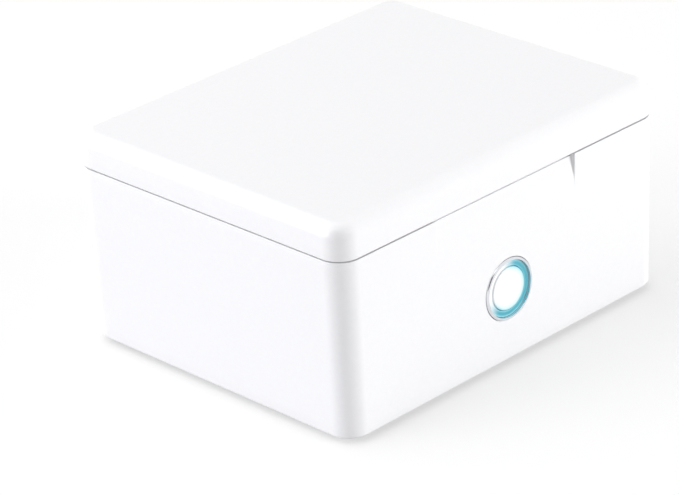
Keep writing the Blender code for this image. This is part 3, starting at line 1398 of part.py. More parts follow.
def leads():
    """The wires that join the fan, the heater, the button's board and the lamp to the main board."""
    places = connector_places()
    plug_z = PART_BOTTOM + CONNECTOR_HEIGHT / 2
    half_depth = CONNECTOR_DEPTH / 2
    reach = FAN_SIZE / 2 + GAP
    clear = 2 * LEAD_RADIUS
    fan_x, fan_y = places["fan"]
    fan_end = fan_y - half_depth - GAP
    fan_z = FAN_BOTTOM + FAN_THICKNESS / 2
    lead(
        "fan_lead",
        [
            (reach, FAN_Y, fan_z),
            (reach + 2 * clear, FAN_Y + clear, fan_z),
            (fan_x - 2 * clear, fan_end - 5 * clear, plug_z),
            (fan_x, fan_end - 2 * clear, plug_z),
            (fan_x, fan_end, plug_z),
        ],
    )
    heater_z = HEATER_BOTTOM + HEATER_HEIGHT / 2
    pad_x = -FAN_SIZE / 2 - 2 * clear
    pad_y = BOARD_FRONT + 2 * clear
    lead(
        "heater_lead",
        [
            (-reach, FAN_Y, heater_z),
            (-reach - 2 * clear, FAN_Y + clear, heater_z),
            (pad_x - clear, FAN_Y + 5 * clear, heater_z - clear),
            (pad_x, pad_y, PART_BOTTOM + 3 * clear),
            (pad_x, pad_y + clear / 2, PART_BOTTOM),
        ],
    )
    button_x, button_y = places["button"]
    button_end = button_y - half_depth - GAP
    exit_x = -BUTTON_POST_X
    exit_z = BUTTON_Z - BUTTON_BOARD_DROP + 2 * clear
    lead(
        "button_lead",
        [
            (exit_x, BUTTON_SCREW_Y, exit_z),
            (exit_x, BUTTON_SCREW_Y + 2 * clear, exit_z),
            (button_x, FAN_Y - FAN_SIZE / 4, plug_z),
            (button_x, button_end - 4 * clear, plug_z),
            (button_x, button_end, plug_z),
        ],
    )
    lamp_x, lamp_y = places["lamp"]
    lamp_end = PART_BOTTOM + CONNECTOR_HEIGHT + GAP
    board_foot = LAMP_Z - LAMP_BOARD_HEIGHT / 2 - GAP
    board_y = LAMP_BOARD_Y + LAMP_BOARD_THICKNESS / 2
    lead(
        "lamp_lead",
        [
            (lamp_x - 2 * clear, board_y, board_foot),
            (lamp_x - 2 * clear, board_y, board_foot - 2 * clear),
            (lamp_x, lamp_y, lamp_end + 2 * clear),
            (lamp_x, lamp_y, lamp_end),
        ],
    )


def main():
    """Builds the closed dryer."""
    clear_scene()
    lid_axis = axis_empty("lid_axis", (0.0, HINGE_Y, HINGE_Z))
    button_axis = axis_empty("button_axis", (0.0, FACE_Y, BUTTON_Z))
    base_shell()
    bottom_cover()
    cover_screws()
    feet()
    chamber_tub()
    drying_tray()
    heater()
    fan()
    fan_screws()
    main_board()
    bezel_ring()
    light_ring()
    button(button_axis)
    button_bracket()
    button_board()
    lamp()
    hinge_pins()
    base_magnets()
    leads()
    lid_shell(lid_axis)
    lid_liner(lid_axis)
    lid_seal(lid_axis)
    lid_magnets(lid_axis)


main()
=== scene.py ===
import json
import math

import bmesh
import bpy
import numpy as np
from mathutils import Matrix, Vector


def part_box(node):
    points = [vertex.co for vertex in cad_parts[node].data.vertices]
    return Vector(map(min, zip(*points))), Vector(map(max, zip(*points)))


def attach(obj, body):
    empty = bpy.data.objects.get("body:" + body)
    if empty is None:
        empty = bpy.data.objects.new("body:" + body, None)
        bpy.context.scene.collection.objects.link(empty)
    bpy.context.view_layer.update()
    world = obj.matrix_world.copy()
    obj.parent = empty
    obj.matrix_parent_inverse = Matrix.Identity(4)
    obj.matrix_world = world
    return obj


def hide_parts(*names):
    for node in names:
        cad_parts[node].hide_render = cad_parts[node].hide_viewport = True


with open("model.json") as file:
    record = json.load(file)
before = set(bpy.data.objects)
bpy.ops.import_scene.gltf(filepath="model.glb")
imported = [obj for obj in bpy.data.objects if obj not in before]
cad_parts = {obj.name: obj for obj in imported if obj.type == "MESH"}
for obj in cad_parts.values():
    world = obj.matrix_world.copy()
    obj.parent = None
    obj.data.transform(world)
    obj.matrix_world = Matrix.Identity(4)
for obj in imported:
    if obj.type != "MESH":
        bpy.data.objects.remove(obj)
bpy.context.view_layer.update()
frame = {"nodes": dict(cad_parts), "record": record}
nodes = frame["nodes"]
mm = 0.001
over = 1 * mm                  # how far a cutter reaches past what it cuts
pole = 0.02 * mm               # radius at which a turned face closes on its axis


# Colours and materials

def hexColour(text):
    # an sRGB hex value turned to linear light
    parts = [int(text[i:i + 2], 16) / 255 for i in (1, 3, 5)]
    linear = [c / 12.92 if c <= 0.04045 else ((c + 0.055) / 1.055) ** 2.4 for c in parts]
    return (*linear, 1.0)


def addNode(tree, kind, settings=None, links=None):
    # one node with its settings, its plain input values and its links
    node = tree.nodes.new(kind)
    for name, value in (settings or {}).items():
        if isinstance(name, str) and hasattr(node, name):
            setattr(node, name, value)
        else:
            node.inputs[name].default_value = value
    for name, socket in (links or {}).items():
        tree.links.new(socket, node.inputs[name])
    return node


def newMaterial(name, sockets):
    # an empty material with one Principled shader, whose plain values are set on its own sockets
    material = bpy.data.materials.new(name)
    material.use_nodes = True
    tree = material.node_tree
    shader = tree.nodes["Principled BSDF"]
    for socket, value in sockets.items():
        shader.inputs[socket].default_value = value
    return material, tree, shader


def grain(tree, shader, size, height, roughness, stretch=(1, 1, 1), detail=3.0):
    # fine surface relief: noise whose bumps are size across and height deep
    where = addNode(tree, "ShaderNodeTexCoord")
    scaled = addNode(tree, "ShaderNodeMapping", {"Scale": stretch}, {"Vector": where.outputs["Object"]})
    noise = addNode(
        tree, "ShaderNodeTexNoise",
        {"Scale": 1 / size, "Detail": detail}, {"Vector": scaled.outputs["Vector"]})
    bump = addNode(
        tree, "ShaderNodeBump", {"Distance": height, "Strength": 1.0}, {"Height": noise.outputs["Fac"]})
    tree.links.new(bump.outputs["Normal"], shader.inputs["Normal"])
    spread = addNode(
        tree, "ShaderNodeMapRange",
        {"To Min": roughness[0], "To Max": roughness[1]}, {"Value": noise.outputs["Fac"]})
    tree.links.new(spread.outputs["Result"], shader.inputs["Roughness"])
    return noise


# a Mix node's two colours and its mixed colour, by their places among its sockets
mixColours = (6, 7)
mixResult = 2

whiteFinish = {
    "colour": "#F4F4F5",       # a neutral white
    "dust": "#F0F0F2",         # the faint mottling of pigment
    "ior": 1.53,               # ABS
    "roughness": (0.27, 0.33),  # a polished mould, a little worn
    "orangePeel": 0.9 * mm,    # spacing of the ripples of a moulded gloss face
    "peelDepth": 0.0012 * mm,
}


def mouldedAbs():
    # glossy white ABS straight from the mould: broad soft highlights with a faint orange peel
    s = whiteFinish
    material, tree, shader = newMaterial("mouldedWhiteAbs", {"IOR": s["ior"]})
    noise = grain(tree, shader, s["orangePeel"], s["peelDepth"], s["roughness"])
    tint = addNode(
        tree, "ShaderNodeMix",
        {"data_type": "RGBA"}, {"Factor": noise.outputs["Fac"]})
    tint.inputs[mixColours[0]].default_value = hexColour(s["colour"])
    tint.inputs[mixColours[1]].default_value = hexColour(s["dust"])
    tree.links.new(tint.outputs[mixResult], shader.inputs["Base Color"])
    return material


def plainMoulded(name, colour, ior, roughness, size, depth):
    # a moulded plastic or rubber in one colour, with the fine spark-eroded texture of its mould
    material, tree, shader = newMaterial(name, {"Base Color": hexColour(colour), "IOR": ior})
    grain(tree, shader, size, depth, roughness)
    return material


def metalFinish(name, colour, roughness, size, depth, stretch=(1, 1, 1)):
    # a bare or plated metal with a fine grain of polishing, drawing or tumbling
    material, tree, shader = newMaterial(name, {"Base Color": hexColour(colour), "Metallic": 1.0})
    grain(tree, shader, size, depth, roughness, stretch)
    return material


# each material by its slot: its name, its colour, its IOR where it isn't a metal, its roughness from and to,
# and how wide and how deep its grain is
finishes = {
    "white_plastic": mouldedAbs(),
    "liner_plastic": plainMoulded(
        "mouldedWhitePolypropylene", "#E6E8EC", 1.49, (0.38, 0.48), 0.3 * mm, 0.003 * mm),
    "dark_plastic": plainMoulded("mouldedBlackNylon", "#26272A", 1.53, (0.45, 0.6), 0.25 * mm, 0.004 * mm),
    "chrome": metalFinish("platedChrome", "#E4E6EA", (0.05, 0.09), 0.4 * mm, 0.0004 * mm),
    "steel": metalFinish("zincPlatedSteel", "#BFC2C6", (0.25, 0.38), 0.2 * mm, 0.001 * mm),
    "magnet_plate": metalFinish("nickelPlate", "#CFCFD0", (0.12, 0.2), 0.3 * mm, 0.0005 * mm),
    "brass": metalFinish("turnedBrass", "#D2B26A", (0.25, 0.35), 0.1 * mm, 0.001 * mm),
    "aluminium": metalFinish("pressedAluminium", "#D9DBDD", (0.3, 0.42), 0.15 * mm, 0.001 * mm, (1, 1, 6)),
    "rubber": plainMoulded("mouldedBlackRubber", "#2B2B2C", 1.52, (0.75, 0.9), 0.2 * mm, 0.006 * mm),
    "silicone": plainMoulded("mouldedClearSilicone", "#DDE0E3", 1.41, (0.45, 0.6), 0.3 * mm, 0.003 * mm),
    "circuit_board": plainMoulded("solderMaskGreen", "#1C5A34", 1.5, (0.35, 0.5), 0.4 * mm, 0.002 * mm),
    "ceramic": plainMoulded("sinteredCeramic", "#E6DFD0", 1.7, (0.5, 0.65), 0.15 * mm, 0.003 * mm),
    "lead_jacket": plainMoulded("extrudedRedPvc", "#B4332C", 1.54, (0.35, 0.5), 0.4 * mm, 0.002 * mm),
}


quartzFinish = {
    "colour": "#F2F8FC", "ior": 1.46, "clear": 0.9, "roughness": (0.02, 0.05),
    "ripple": 1.5 * mm, "rippleDepth": 0.0002 * mm,
}


def polishedQuartz():
    # fused quartz plate, clear and flat
    s = quartzFinish
    material, tree, shader = newMaterial(
        "polishedQuartz",
        {"Base Color": hexColour(s["colour"]), "IOR": s["ior"], "Transmission Weight": s["clear"]})
    grain(tree, shader, s["ripple"], s["rippleDepth"], s["roughness"])
    return material


finishes["quartz"] = polishedQuartz()


# Surfaces

weld = 0.0001 * mm             # points closer than this are one
sharpAngle = math.radians(40)  # edges that turn by more than this stay crisp


def gridMesh(points, closed=False):
    # a bmesh from a grid of points whose columns close on themselves
    # its rows close on themselves too, or each end has a flat face
    rows, columns = points.shape[:2]
    grid = np.arange(rows * columns).reshape(rows, columns)
    ends = [] if closed else [grid[0].tolist(), grid[-1].tolist()]
    if closed:
        grid = np.vstack([grid, grid[:1]])
    after = np.roll(grid, -1, axis=1)
    quads = np.stack([grid[:-1], after[:-1], after[1:], grid[1:]], axis=-1).reshape(-1, 4)
    data = bpy.data.meshes.new("grid")
    data.from_pydata(points.reshape(-1, 3).tolist(), [], quads.tolist() + ends)
    work = bmesh.new()
    work.from_mesh(data)
    bpy.data.meshes.remove(data)
    bmesh.ops.remove_doubles(work, verts=work.verts, dist=weld)
    bmesh.ops.recalc_face_normals(work, faces=work.faces)
    return work


def newPiece(name, mesh, finish, body, replaced=()):
    # an object from a bmesh, with its material, its body, its slot and the nodes that it stands for
    data = bpy.data.meshes.new(name)
    mesh.to_mesh(data)
    mesh.free()
    obj = bpy.data.objects.new(name, data)
    bpy.context.scene.collection.objects.link(obj)
    return dress(obj, finish, body, replaced)


def dress(obj, finish, body, replaced=()):
    # gives a piece its material, its body, its slot and the nodes that it stands for
    obj.data.materials.clear()
    obj.data.materials.append(finishes[finish])
    obj.data.shade_smooth()
    obj.data.set_sharp_from_angle(angle=sharpAngle)
    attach(obj, body)
    if replaced:
        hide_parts(*replaced)
    return obj


def outlineUnits(marksX, marksY, cornerSteps):
    # a rounded rectangle in shares: each column has its place along the straights (from -1 to 1)
    # and its outward direction; the corners are quarter circles of directions
    quarter = np.linspace(0, math.pi / 2, cornerSteps + 2)[1:-1]
    along, across, turn = [], [], []
    for side, marks in enumerate((marksX, marksY, marksX, marksY)):
        start = math.pi * (side - 1) / 2
        flip = 1 if side in (0, 1) else -1
        fixed = -1 if side in (0, 3) else 1
        run = np.sort(np.asarray(marks)) * flip
        if flip < 0:
            run = np.sort(run)[::-1]
        hold = np.full(len(run), float(fixed))
        along.append(run if side % 2 == 0 else hold)
        across.append(hold if side % 2 == 0 else run)
        turn.append(np.full(len(run), start))
        corner = (1, -1), (1, 1), (-1, 1), (-1, -1)
        along.append(np.full(len(quarter), float(corner[side][0])))
        across.append(np.full(len(quarter), float(corner[side][1])))
        turn.append(start + quarter)
    turn = np.concatenate(turn)
    return np.concatenate(along), np.concatenate(across), np.cos(turn), np.sin(turn)


def evenUnits(marks, cornerSteps):
    # columns that are spread evenly over the straights
    places = np.linspace(-1, 1, marks)
    return outlineUnits(places, places, cornerSteps)


def ringPoints(units, halfX, halfY, radius, inset, height, centreY=0.0):
    # one ring: the corner centres, carried outwards by the radius less the inset
    along, across, outX, outY = units
    x = along * (halfX - radius) + outX * (radius - inset)
    y = centreY + across * (halfY - radius) + outY * (radius - inset)
    return np.stack([x, y, np.broadcast_to(height, x.shape)], axis=-1)


def arc(start, end, steps):
    # angles of an arc with both its ends
    return np.radians(np.linspace(start, end, steps + 1))


# how many sides a round shape has, by what it is
sides = {"rod": 32, "post": 40, "pocket": 48, "hub": 64, "wheel": 72, "cap": 128, "ring": 160}


def turnedMesh(profile, centre, axis, count, closed=True):
    # a turned surface: pairs of a radius and a place along the axis, carried round a circle
    profile = np.asarray(profile)
    angle = np.linspace(0, 2 * math.pi, count, endpoint=False)
    u = centre[0] + profile[:, :1] * np.cos(angle)
    v = centre[1] + profile[:, :1] * np.sin(angle)
    w = np.broadcast_to(profile[:, 1:], u.shape)
    return gridMesh(alongAxis(axis, u, v, w), closed)


def turnedPiece(name, profile, centre, axis, finish, body, replaced, count, closed=True):
    # a piece of that form
    return newPiece(name, turnedMesh(profile, centre, axis, count, closed), finish, body, replaced)


def alongAxis(axis, u, v, w):
    # points whose third value lies along the named axis
    order = {"X": (w, u, v), "Y": (u, w, v), "Z": (u, v, w)}[axis]
    return np.stack(order, axis=-1)


def roundedProfile(corners, closed=True):
    # a profile whose corners are rounded: each corner gives a radius, a place and its fillet
    points = []
    count = len(corners)
    for i, (radius, place, fillet) in enumerate(corners):
        here = np.array((radius, place))
        if not fillet or (not closed and i in (0, count - 1)):
            points.append(here)
            continue
        before = np.array(corners[i - 1][:2]) - here
        after = np.array(corners[(i + 1) % count][:2]) - here
        before /= np.linalg.norm(before)
        after /= np.linalg.norm(after)
        half = math.acos(np.clip(before @ after, -1, 1)) / 2
        reach = fillet / math.tan(half)
        middle = here + (before + after) / np.linalg.norm(before + after) * fillet / math.sin(half)
        first = here + before * reach - middle
        last = here + after * reach - middle
        for share in np.linspace(0, 1, 6):
            step = first * (1 - share) + last * share
            points.append(middle + step / np.linalg.norm(step) * fillet)
    return np.array(points)


def blockMesh(low, high, rounding=0.0, steps=3):
    # a box as a bmesh, with its edges rounded
    work = bmesh.new()
    low, high = Vector(low), Vector(high)
    place = Matrix.Translation((low + high) / 2) @ Matrix.Diagonal((*(high - low), 1))
    bmesh.ops.create_cube(work, size=1.0, matrix=place)
    if rounding:
        bmesh.ops.bevel(work, geom=work.edges, offset=rounding, segments=steps, profile=0.5, affect="EDGES")
    return work


def rodMesh(radius, start, end, axis, centre, count=sides["rod"]):
    # a round rod as a bmesh
    angle = np.linspace(0, 2 * math.pi, count, endpoint=False) + math.pi / count
    outline = np.array(centre) + radius * np.stack([np.cos(angle), np.sin(angle)], axis=-1)
    return prismMesh(outline, start, end, axis)


def prismMesh(outline, start, end, axis="X"):
    # an outline carried straight along an axis, as a bmesh
    outline = np.asarray(outline)
    u, v = np.stack([outline, outline]).transpose(2, 0, 1)
    w = np.broadcast_to(np.array([[start], [end]]), u.shape)
    return gridMesh(alongAxis(axis, u, v, w))


def roundRect(centre, halfU, halfV, radius, steps=6):
    # an outline of a rectangle with round corners; with a radius of its smaller half it has half-round ends
    outline = []
    for start, sideU, sideV in ((0, 1, 1), (90, -1, 1), (180, -1, -1), (270, 1, -1)):
        for angle in arc(start, start + 90, steps):
            outline.append((
                centre[0] + sideU * (halfU - radius) + radius * math.cos(angle),
                centre[1] + sideV * (halfV - radius) + radius * math.sin(angle)))
    return outline


def rowOfPlaces(count, pitch):
    # places in an even row about the middle
    return (np.arange(count) - (count - 1) / 2) * pitch


def together(parts):
    # several bmeshes as one, which stay apart
    whole = bmesh.new()
    for part in parts:
        data = bpy.data.meshes.new("part")
        part.to_mesh(data)
        part.free()
        whole.from_mesh(data)
        bpy.data.meshes.remove(data)
    return whole


def carve(obj, operation, mesh):
    # a Boolean that is applied at once
    data = bpy.data.meshes.new("cutter")
    mesh.to_mesh(data)
    mesh.free()
    cutter = bpy.data.objects.new("cutter", data)
    bpy.context.scene.collection.objects.link(cutter)
    modifier = obj.modifiers.new("carve", "BOOLEAN")
    modifier.operation = operation
    modifier.object = cutter
    bpy.context.view_layer.update()
    graph = bpy.context.evaluated_depsgraph_get()
    old = obj.data
    obj.data = bpy.data.meshes.new_from_object(obj.evaluated_get(graph))
    obj.modifiers.clear()
    obj.data.set_sharp_from_angle(angle=sharpAngle)
    bpy.data.objects.remove(cutter)
    bpy.data.meshes.remove(data)
    bpy.data.meshes.remove(old)
    obj.data.name = obj.name


# Heights and outlines shared by the pieces of the housing

housing = {
    "halfX": 46.2 * mm, "halfY": 37.85 * mm, "corner": 4.75 * mm,
    "draft": 0.475 * mm,       # the base's sides lean in by this at its foot
    "bottom": 1.2 * mm, "seam": 39.3 * mm, "lidBottom": 39.6 * mm, "top": 47.0 * mm,
    "wall": 2.0 * mm, "deckBottom": 36.9 * mm, "gap": 0.3 * mm,
    "screws": (40.4 * mm, 32.2 * mm),    # places of the cover's screws
}
chamber = {
    "halfX": 40.5 * mm, "front": -25.172 * mm, "rear": 29.55 * mm, "corner": 6.0 * mm,
}
hinge = {
    "y": 35.65 * mm, "z": 35.3 * mm, "places": (-27 * mm, 27 * mm),
    "barrel": 2.0 * mm, "width": 14 * mm, "side": 0.4 * mm, "clearance": 0.6 * mm,
    "arm": 1.6 * mm, "wall": 1.2 * mm, "cheek": 3.6 * mm, "pin": 0.75 * mm, "fit": 0.05 * mm,
}
buttonPlace = {"z": 17.0 * mm, "hole": 6.8 * mm, "post": 10.1 * mm}
# pockets of the magnets, cut up into the deck and down into the liner
magnetPocket = {
    "x": 12 * mm, "y": -32.45 * mm, "radius": 3.2 * mm,
    "baseZ": (36 * mm, 38.5 * mm), "lidZ": 41.2 * mm,
}
fourCorners = ((-1, -1), (-1, 1), (1, -1), (1, 1))    # the signs of X and Y

shellColumns = {
    "scoop": 41, "end": 15, "beside": 10, "side": 33, "corner": 14,    # how many stand in each stretch
    "endHalf": 0.7 * mm,       # half of the fine stretch at each end of the scoop
    "near": (0.03 * mm, 0.3 * mm),    # two more columns this far from each corner
}


def shellUnits():
    # columns of the housing's outline: closer together at the scoop's two ends and beside each corner
    s = shellColumns
    half = housing["halfX"] - housing["corner"]
    end = scoop["width"] / 2 / half
    fine = np.linspace(-1, 1, s["end"]) * s["endHalf"] / half
    near = np.array(s["near"]) / half
    marksX = np.concatenate([
        np.linspace(-end, end, s["scoop"])[2:-2], -end + fine, end + fine,
        np.linspace(-1, -end, s["beside"])[1:-1], np.linspace(end, 1, s["beside"])[1:-1],
        [-1, 1], -1 + near, 1 - near])
    marksY = np.concatenate([np.linspace(-1, 1, s["side"]), -1 + near, 1 - near])
    return outlineUnits(np.unique(marksX.round(7)), np.unique(marksY.round(7)), s["corner"])


def chamberRing(units, outset, z):
    # a ring about the chamber's outline, moved outwards by the outset
    half = (chamber["rear"] - chamber["front"]) / 2
    middle = (chamber["rear"] + chamber["front"]) / 2
    return ringPoints(units, chamber["halfX"], half, chamber["corner"], -outset, z, middle)


def smoothStep(low, high, value):
    # an S-curve from 0 to 1: three times the square less twice the cube
    t = np.clip((value - low) / (high - low), 0, 1)
    return t * t * (3 - 2 * t)


scoop = {
    "width": 40 * mm, "height": 6.5 * mm, "depth": 1.0 * mm,
    "side": 0.16 * mm,         # how far each end wall leans over its depth
    "blend": 1.2 * mm,         # softening along the lower edge
    "step": 0.55 * mm,         # how far the rim lies lower over the scoop, which opens the seam there
}


def scoopEnds(x):
    # 1 over the scoop and 0 beside it
    s = scoop
    return 1 - smoothStep(s["width"] / 2 - s["side"], s["width"] / 2 + s["side"], np.abs(x))


def scoopDepth(x, z):
    # a wedge that is deepest at the seam: linear in height with a softened foot, and cut off at both ends
    s = scoop
    rise = z - (housing["seam"] - s["height"])
    ramp = np.where(rise > s["blend"], rise - s["blend"] / 2, np.clip(rise, 0, None) ** 2 / (2 * s["blend"]))
    full = s["height"] - s["blend"] / 2
    return s["depth"] * ramp / full * scoopEnds(x)


baseForm = {
    "footEdge": 0.6 * mm, "rimEdge": 0.12 * mm, "wallRows": 22,
    "reliefDepth": 1.4 * mm, "reliefDrop": 0.9 * mm,    # chamfer that the lid's rear edge swings past
    "front": 3 * mm,           # points this close to the front belong to its wall
    # rows over the rim: how far in they lie, and their shares of the scoop's depth and of its step
    "rimRows": [
        (0.05 * mm, 1.0, 1.0), (0.5 * mm, 1.0, 1.0), (1.2 * mm, 0.32, 0.0),
        (1.6 * mm, 0.0, 0.0), (2.6 * mm, 0.0, 0.0)],
    "crisp": 0.05 * mm,        # distance of a row that keeps an edge crisp
    "rebate": 2.3 * mm, "rebateDepth": 1.3 * mm, "rebateEdge": 0.2 * mm,
    "vents": 5, "ventSlot": 1.6 * mm, "ventPitch": 3.4 * mm, "ventHeight": 10 * mm, "ventZ": 20.5 * mm,
    "mouth": 0.3 * mm,         # rounding of the vents' mouths
    "mouthWider": 1.3, "mouthPast": 0.5 * mm,    # where a vent's cutter ends outside the wall
    "socketHalf": (4.8 * mm, 1.9 * mm), "socketZ": 9.0 * mm,
}


def rimHeight(ring, share=1.0):
    # the rim is level, but for the chamfer along its rear edge and the step over the scoop
    s = baseForm
    past = np.clip(ring[:, 1] - (housing["halfY"] - s["reliefDepth"]), 0, None)
    step = np.where(ring[:, 1] < 0, scoop["step"] * share * scoopEnds(ring[:, 0]), 0)
    return housing["seam"] - past * s["reliefDrop"] / s["reliefDepth"] - step


def baseShellPiece():
    # one closed skin: rows run up the outer wall, over the rim and the deck, down the rebate and back inside
    s = baseForm
    h = housing
    units = shellUnits()
    foot, rim = s["footEdge"], s["rimEdge"]

    def outer(inset, z):
        lean = h["draft"] * (h["seam"] - z) / (h["seam"] - h["bottom"])
        return ringPoints(units, h["halfX"] - lean, h["halfY"] - lean, h["corner"], inset, z)

    def dented(ring, share=1.0):
        # the scoop pushes the front wall inwards
        front = ring[:, 1] < -h["halfY"] + s["front"]
        depth = scoopDepth(ring[:, 0], np.minimum(ring[:, 2], h["seam"]))
        ring[:, 1] += np.where(front, depth * share, 0)
        return ring

    rows = [outer(h["wall"], h["bottom"])]
    for angle in arc(0, 90, 6):
        rows.append(outer(foot * (1 - math.sin(angle)), h["bottom"] + foot * (1 - math.cos(angle))))
    edgeTop = rimHeight(outer(0, h["seam"])) - rim
    wallStart = h["bottom"] + foot
    spread = np.linspace(0, 1, s["wallRows"] + 1)[1:]
    for share in spread:
        height = wallStart + (edgeTop - wallStart) * share
        ring = outer(0, height)
        rows.append(dented(ring))
    for angle in arc(0, 90, 5)[1:]:
        ring = outer(rim * (1 - math.cos(angle)), h["seam"])
        ring[:, 2] = rimHeight(ring) - rim * (1 - math.sin(angle))
        rows.append(dented(ring))
    for inset, share, step in s["rimRows"]:
        ring = outer(rim + inset, h["seam"])
        ring[:, 2] = rimHeight(ring, step)
        rows.append(dented(ring, share))
    edge = s["rebateEdge"]
    for angle in arc(90, 0, 4):
        outset = s["rebate"] + edge * (1 - math.cos(angle))
        rows.append(chamberRing(units, outset, h["seam"] - edge * (1 - math.sin(angle))))
    floor = h["seam"] - s["rebateDepth"]
    for outset, z in (
        (s["rebate"], floor + s["crisp"]), (s["rebate"], floor), (h["gap"] + edge, floor),
        (h["gap"], floor - edge), (h["gap"], h["deckBottom"]),
    ):
        rows.append(chamberRing(units, outset, z))
    rows.append(outer(h["wall"], h["deckBottom"]))
    shell = newPiece("baseShell", gridMesh(np.stack(rows), True), "white_plastic", "base", ["base_shell"])
    finishBase(shell)


# cheeks of the hinges, posts of the button's bracket, ribs behind the lamp's board, bosses and theirs
shellInside = {
    "cheekTop": 1.2 * mm, "cheekBack": 1 * mm,
    "post": 2 * mm, "postY": (-36.5 * mm, -33.17 * mm), "postHoleY": (-35.97 * mm, -33 * mm),
    "lampRib": 1 * mm, "lampRibX": 8 * mm,
    "lampRibY": (33.95 * mm, 36.7 * mm), "lampRibZ": (22 * mm, 34 * mm),
    "boss": 2.2 * mm, "bossZ": (3.9 * mm, 17.9 * mm), "rib": 0.65 * mm, "ribTo": (44.7 * mm, 36.4 * mm),
    "screwHole": 1 * mm, "screwHoleZ": (2 * mm, 7 * mm),
    "lean": 0.278 * mm,        # how far the front lies behind the seam's outline at the button
    "faceWall": 3 * mm,
}


def finishBase(shell):
    # what stands inside the shell, then every hole in it
    s = baseForm
    h = housing
    g = hinge
    p = shellInside
    reach = g["barrel"] + g["clearance"]
    notchHalf = g["width"] / 2 + g["side"]
    cheeks = []
    for x in g["places"]:
        block = notchHalf + g["cheek"]
        low = (x - block, g["y"] - reach - g["wall"], g["z"] - reach - g["wall"])
        high = (x + block, h["halfY"] - p["cheekBack"], h["deckBottom"] + p["cheekTop"])
        cheeks.append(blockMesh(low, high))
    height = buttonPlace["z"]
    for side in (-1, 1):
        cheeks.append(rodMesh(p["post"], *p["postY"], "Y", (side * buttonPlace["post"], height)))
    for side in (-1, 1):
        x = side * p["lampRibX"]
        (nearY, farY), (lowZ, highZ) = p["lampRibY"], p["lampRibZ"]
        cheeks.append(blockMesh((x - p["lampRib"], nearY, lowZ), (x + p["lampRib"], farY, highZ)))
    carve(shell, "UNION", together(cheeks))
    bosses, ribs, holes = [], [], []
    lowZ, highZ = p["bossZ"]
    for sideX, sideY in fourCorners:
        x, y = sideX * h["screws"][0], sideY * h["screws"][1]
        bosses.append(rodMesh(p["boss"], lowZ, highZ, "Z", (x, y)))
        toX, toY = sideX * p["ribTo"][0], sideY * p["ribTo"][1]
        low = (min(x, toX), y - p["rib"], lowZ)
        ribs.append(blockMesh(low, (max(x, toX), y + p["rib"], highZ)))
        low = (x - p["rib"], min(y, toY), lowZ)
        ribs.append(blockMesh(low, (x + p["rib"], max(y, toY), highZ)))
        holes.append(rodMesh(p["screwHole"], *p["screwHoleZ"], "Z", (x, y)))
    carve(shell, "UNION", together(bosses))
    carve(shell, "UNION", together(ribs[0::2]))
    carve(shell, "UNION", together(ribs[1::2]))
    face = -h["halfY"] + p["lean"]
    wall = face - over, face + p["faceWall"]
    holes.append(rodMesh(buttonPlace["hole"], *wall, "Y", (0, height), sides["cap"]))
    for side in (-1, 1):
        holes.append(rodMesh(p["screwHole"], *p["postHoleY"], "Y", (side * buttonPlace["post"], height)))
    m = magnetPocket
    for x in (-m["x"], m["x"]):
        holes.append(rodMesh(m["radius"], *m["baseZ"], "Z", (x, m["y"]), sides["pocket"]))
    for x in g["places"]:
        low = (x - notchHalf, g["y"] - reach, g["z"] - reach)
        holes.append(blockMesh(low, (x + notchHalf, h["halfY"] + over, h["seam"] + over)))
        for place in x + rowOfPlaces(s["vents"], s["ventPitch"]):
            halves = s["ventSlot"] / 2, s["ventHeight"] / 2
            holes.append(slotMesh((place, s["ventZ"]), *halves, ventWall(s["ventZ"])))
    halfX, halfZ = s["socketHalf"]
    holes.append(slotMesh((0, s["socketZ"]), halfX, halfZ, ventWall(s["socketZ"])))
    carve(shell, "DIFFERENCE", together(holes))
    bores = []
    for x in g["places"]:
        span = notchHalf + g["cheek"] + over
        bores.append(rodMesh(g["pin"] + g["fit"], x - span, x + span, "X", (g["y"], g["z"])))
    carve(shell, "DIFFERENCE", together(bores))


def ventWall(z):
    # the outer face of the rear wall at a height, and its inner face
    lean = housing["draft"] * (housing["seam"] - z) / (housing["seam"] - housing["bottom"])
    return housing["halfY"] - lean, housing["halfY"] - lean - housing["wall"]


def slotMesh(centre, halfX, halfZ, wall):
    # a cutter with round ends whose mouth on the outer face flares out along a quarter circle
    flare = baseForm["mouth"]
    small = min(halfX, halfZ)
    places = [(0.0, wall[1] - over), (0.0, wall[0] - flare)]
    places += [(flare * (1 - math.cos(a)), wall[0] - flare + flare * math.sin(a)) for a in arc(0, 90, 5)[1:]]
    places.append((flare * baseForm["mouthWider"], wall[0] + baseForm["mouthPast"]))
    rings = []
    for outset, y in places:
        outline = np.array(roundRect(centre, halfX + outset, halfZ + outset, small + outset, 8))
        rings.append(np.stack([outline[:, 0], np.full(len(outline), y), outline[:, 1]], axis=-1))
    return gridMesh(np.stack(rings))


print("stage: base shell")
baseShellPiece()


lidForm = {
    "edge": 3.0 * mm,          # the large round edge along the top
    "lip": 0.14 * mm,          # small round at the seam
    "ceiling": 45.0 * mm, "innerEdge": 1.0 * mm,
    "posts": (38.2 * mm, 29.85 * mm), "postRadius": 1.8 * mm, "postFoot": 43.1 * mm,
    "shares": (0.9, 0.5, 0.04),    # rings of the flat middle, as shares of its outline
    "crisp": 0.1 * mm,         # distance of a row that keeps the round edge's ends true
}


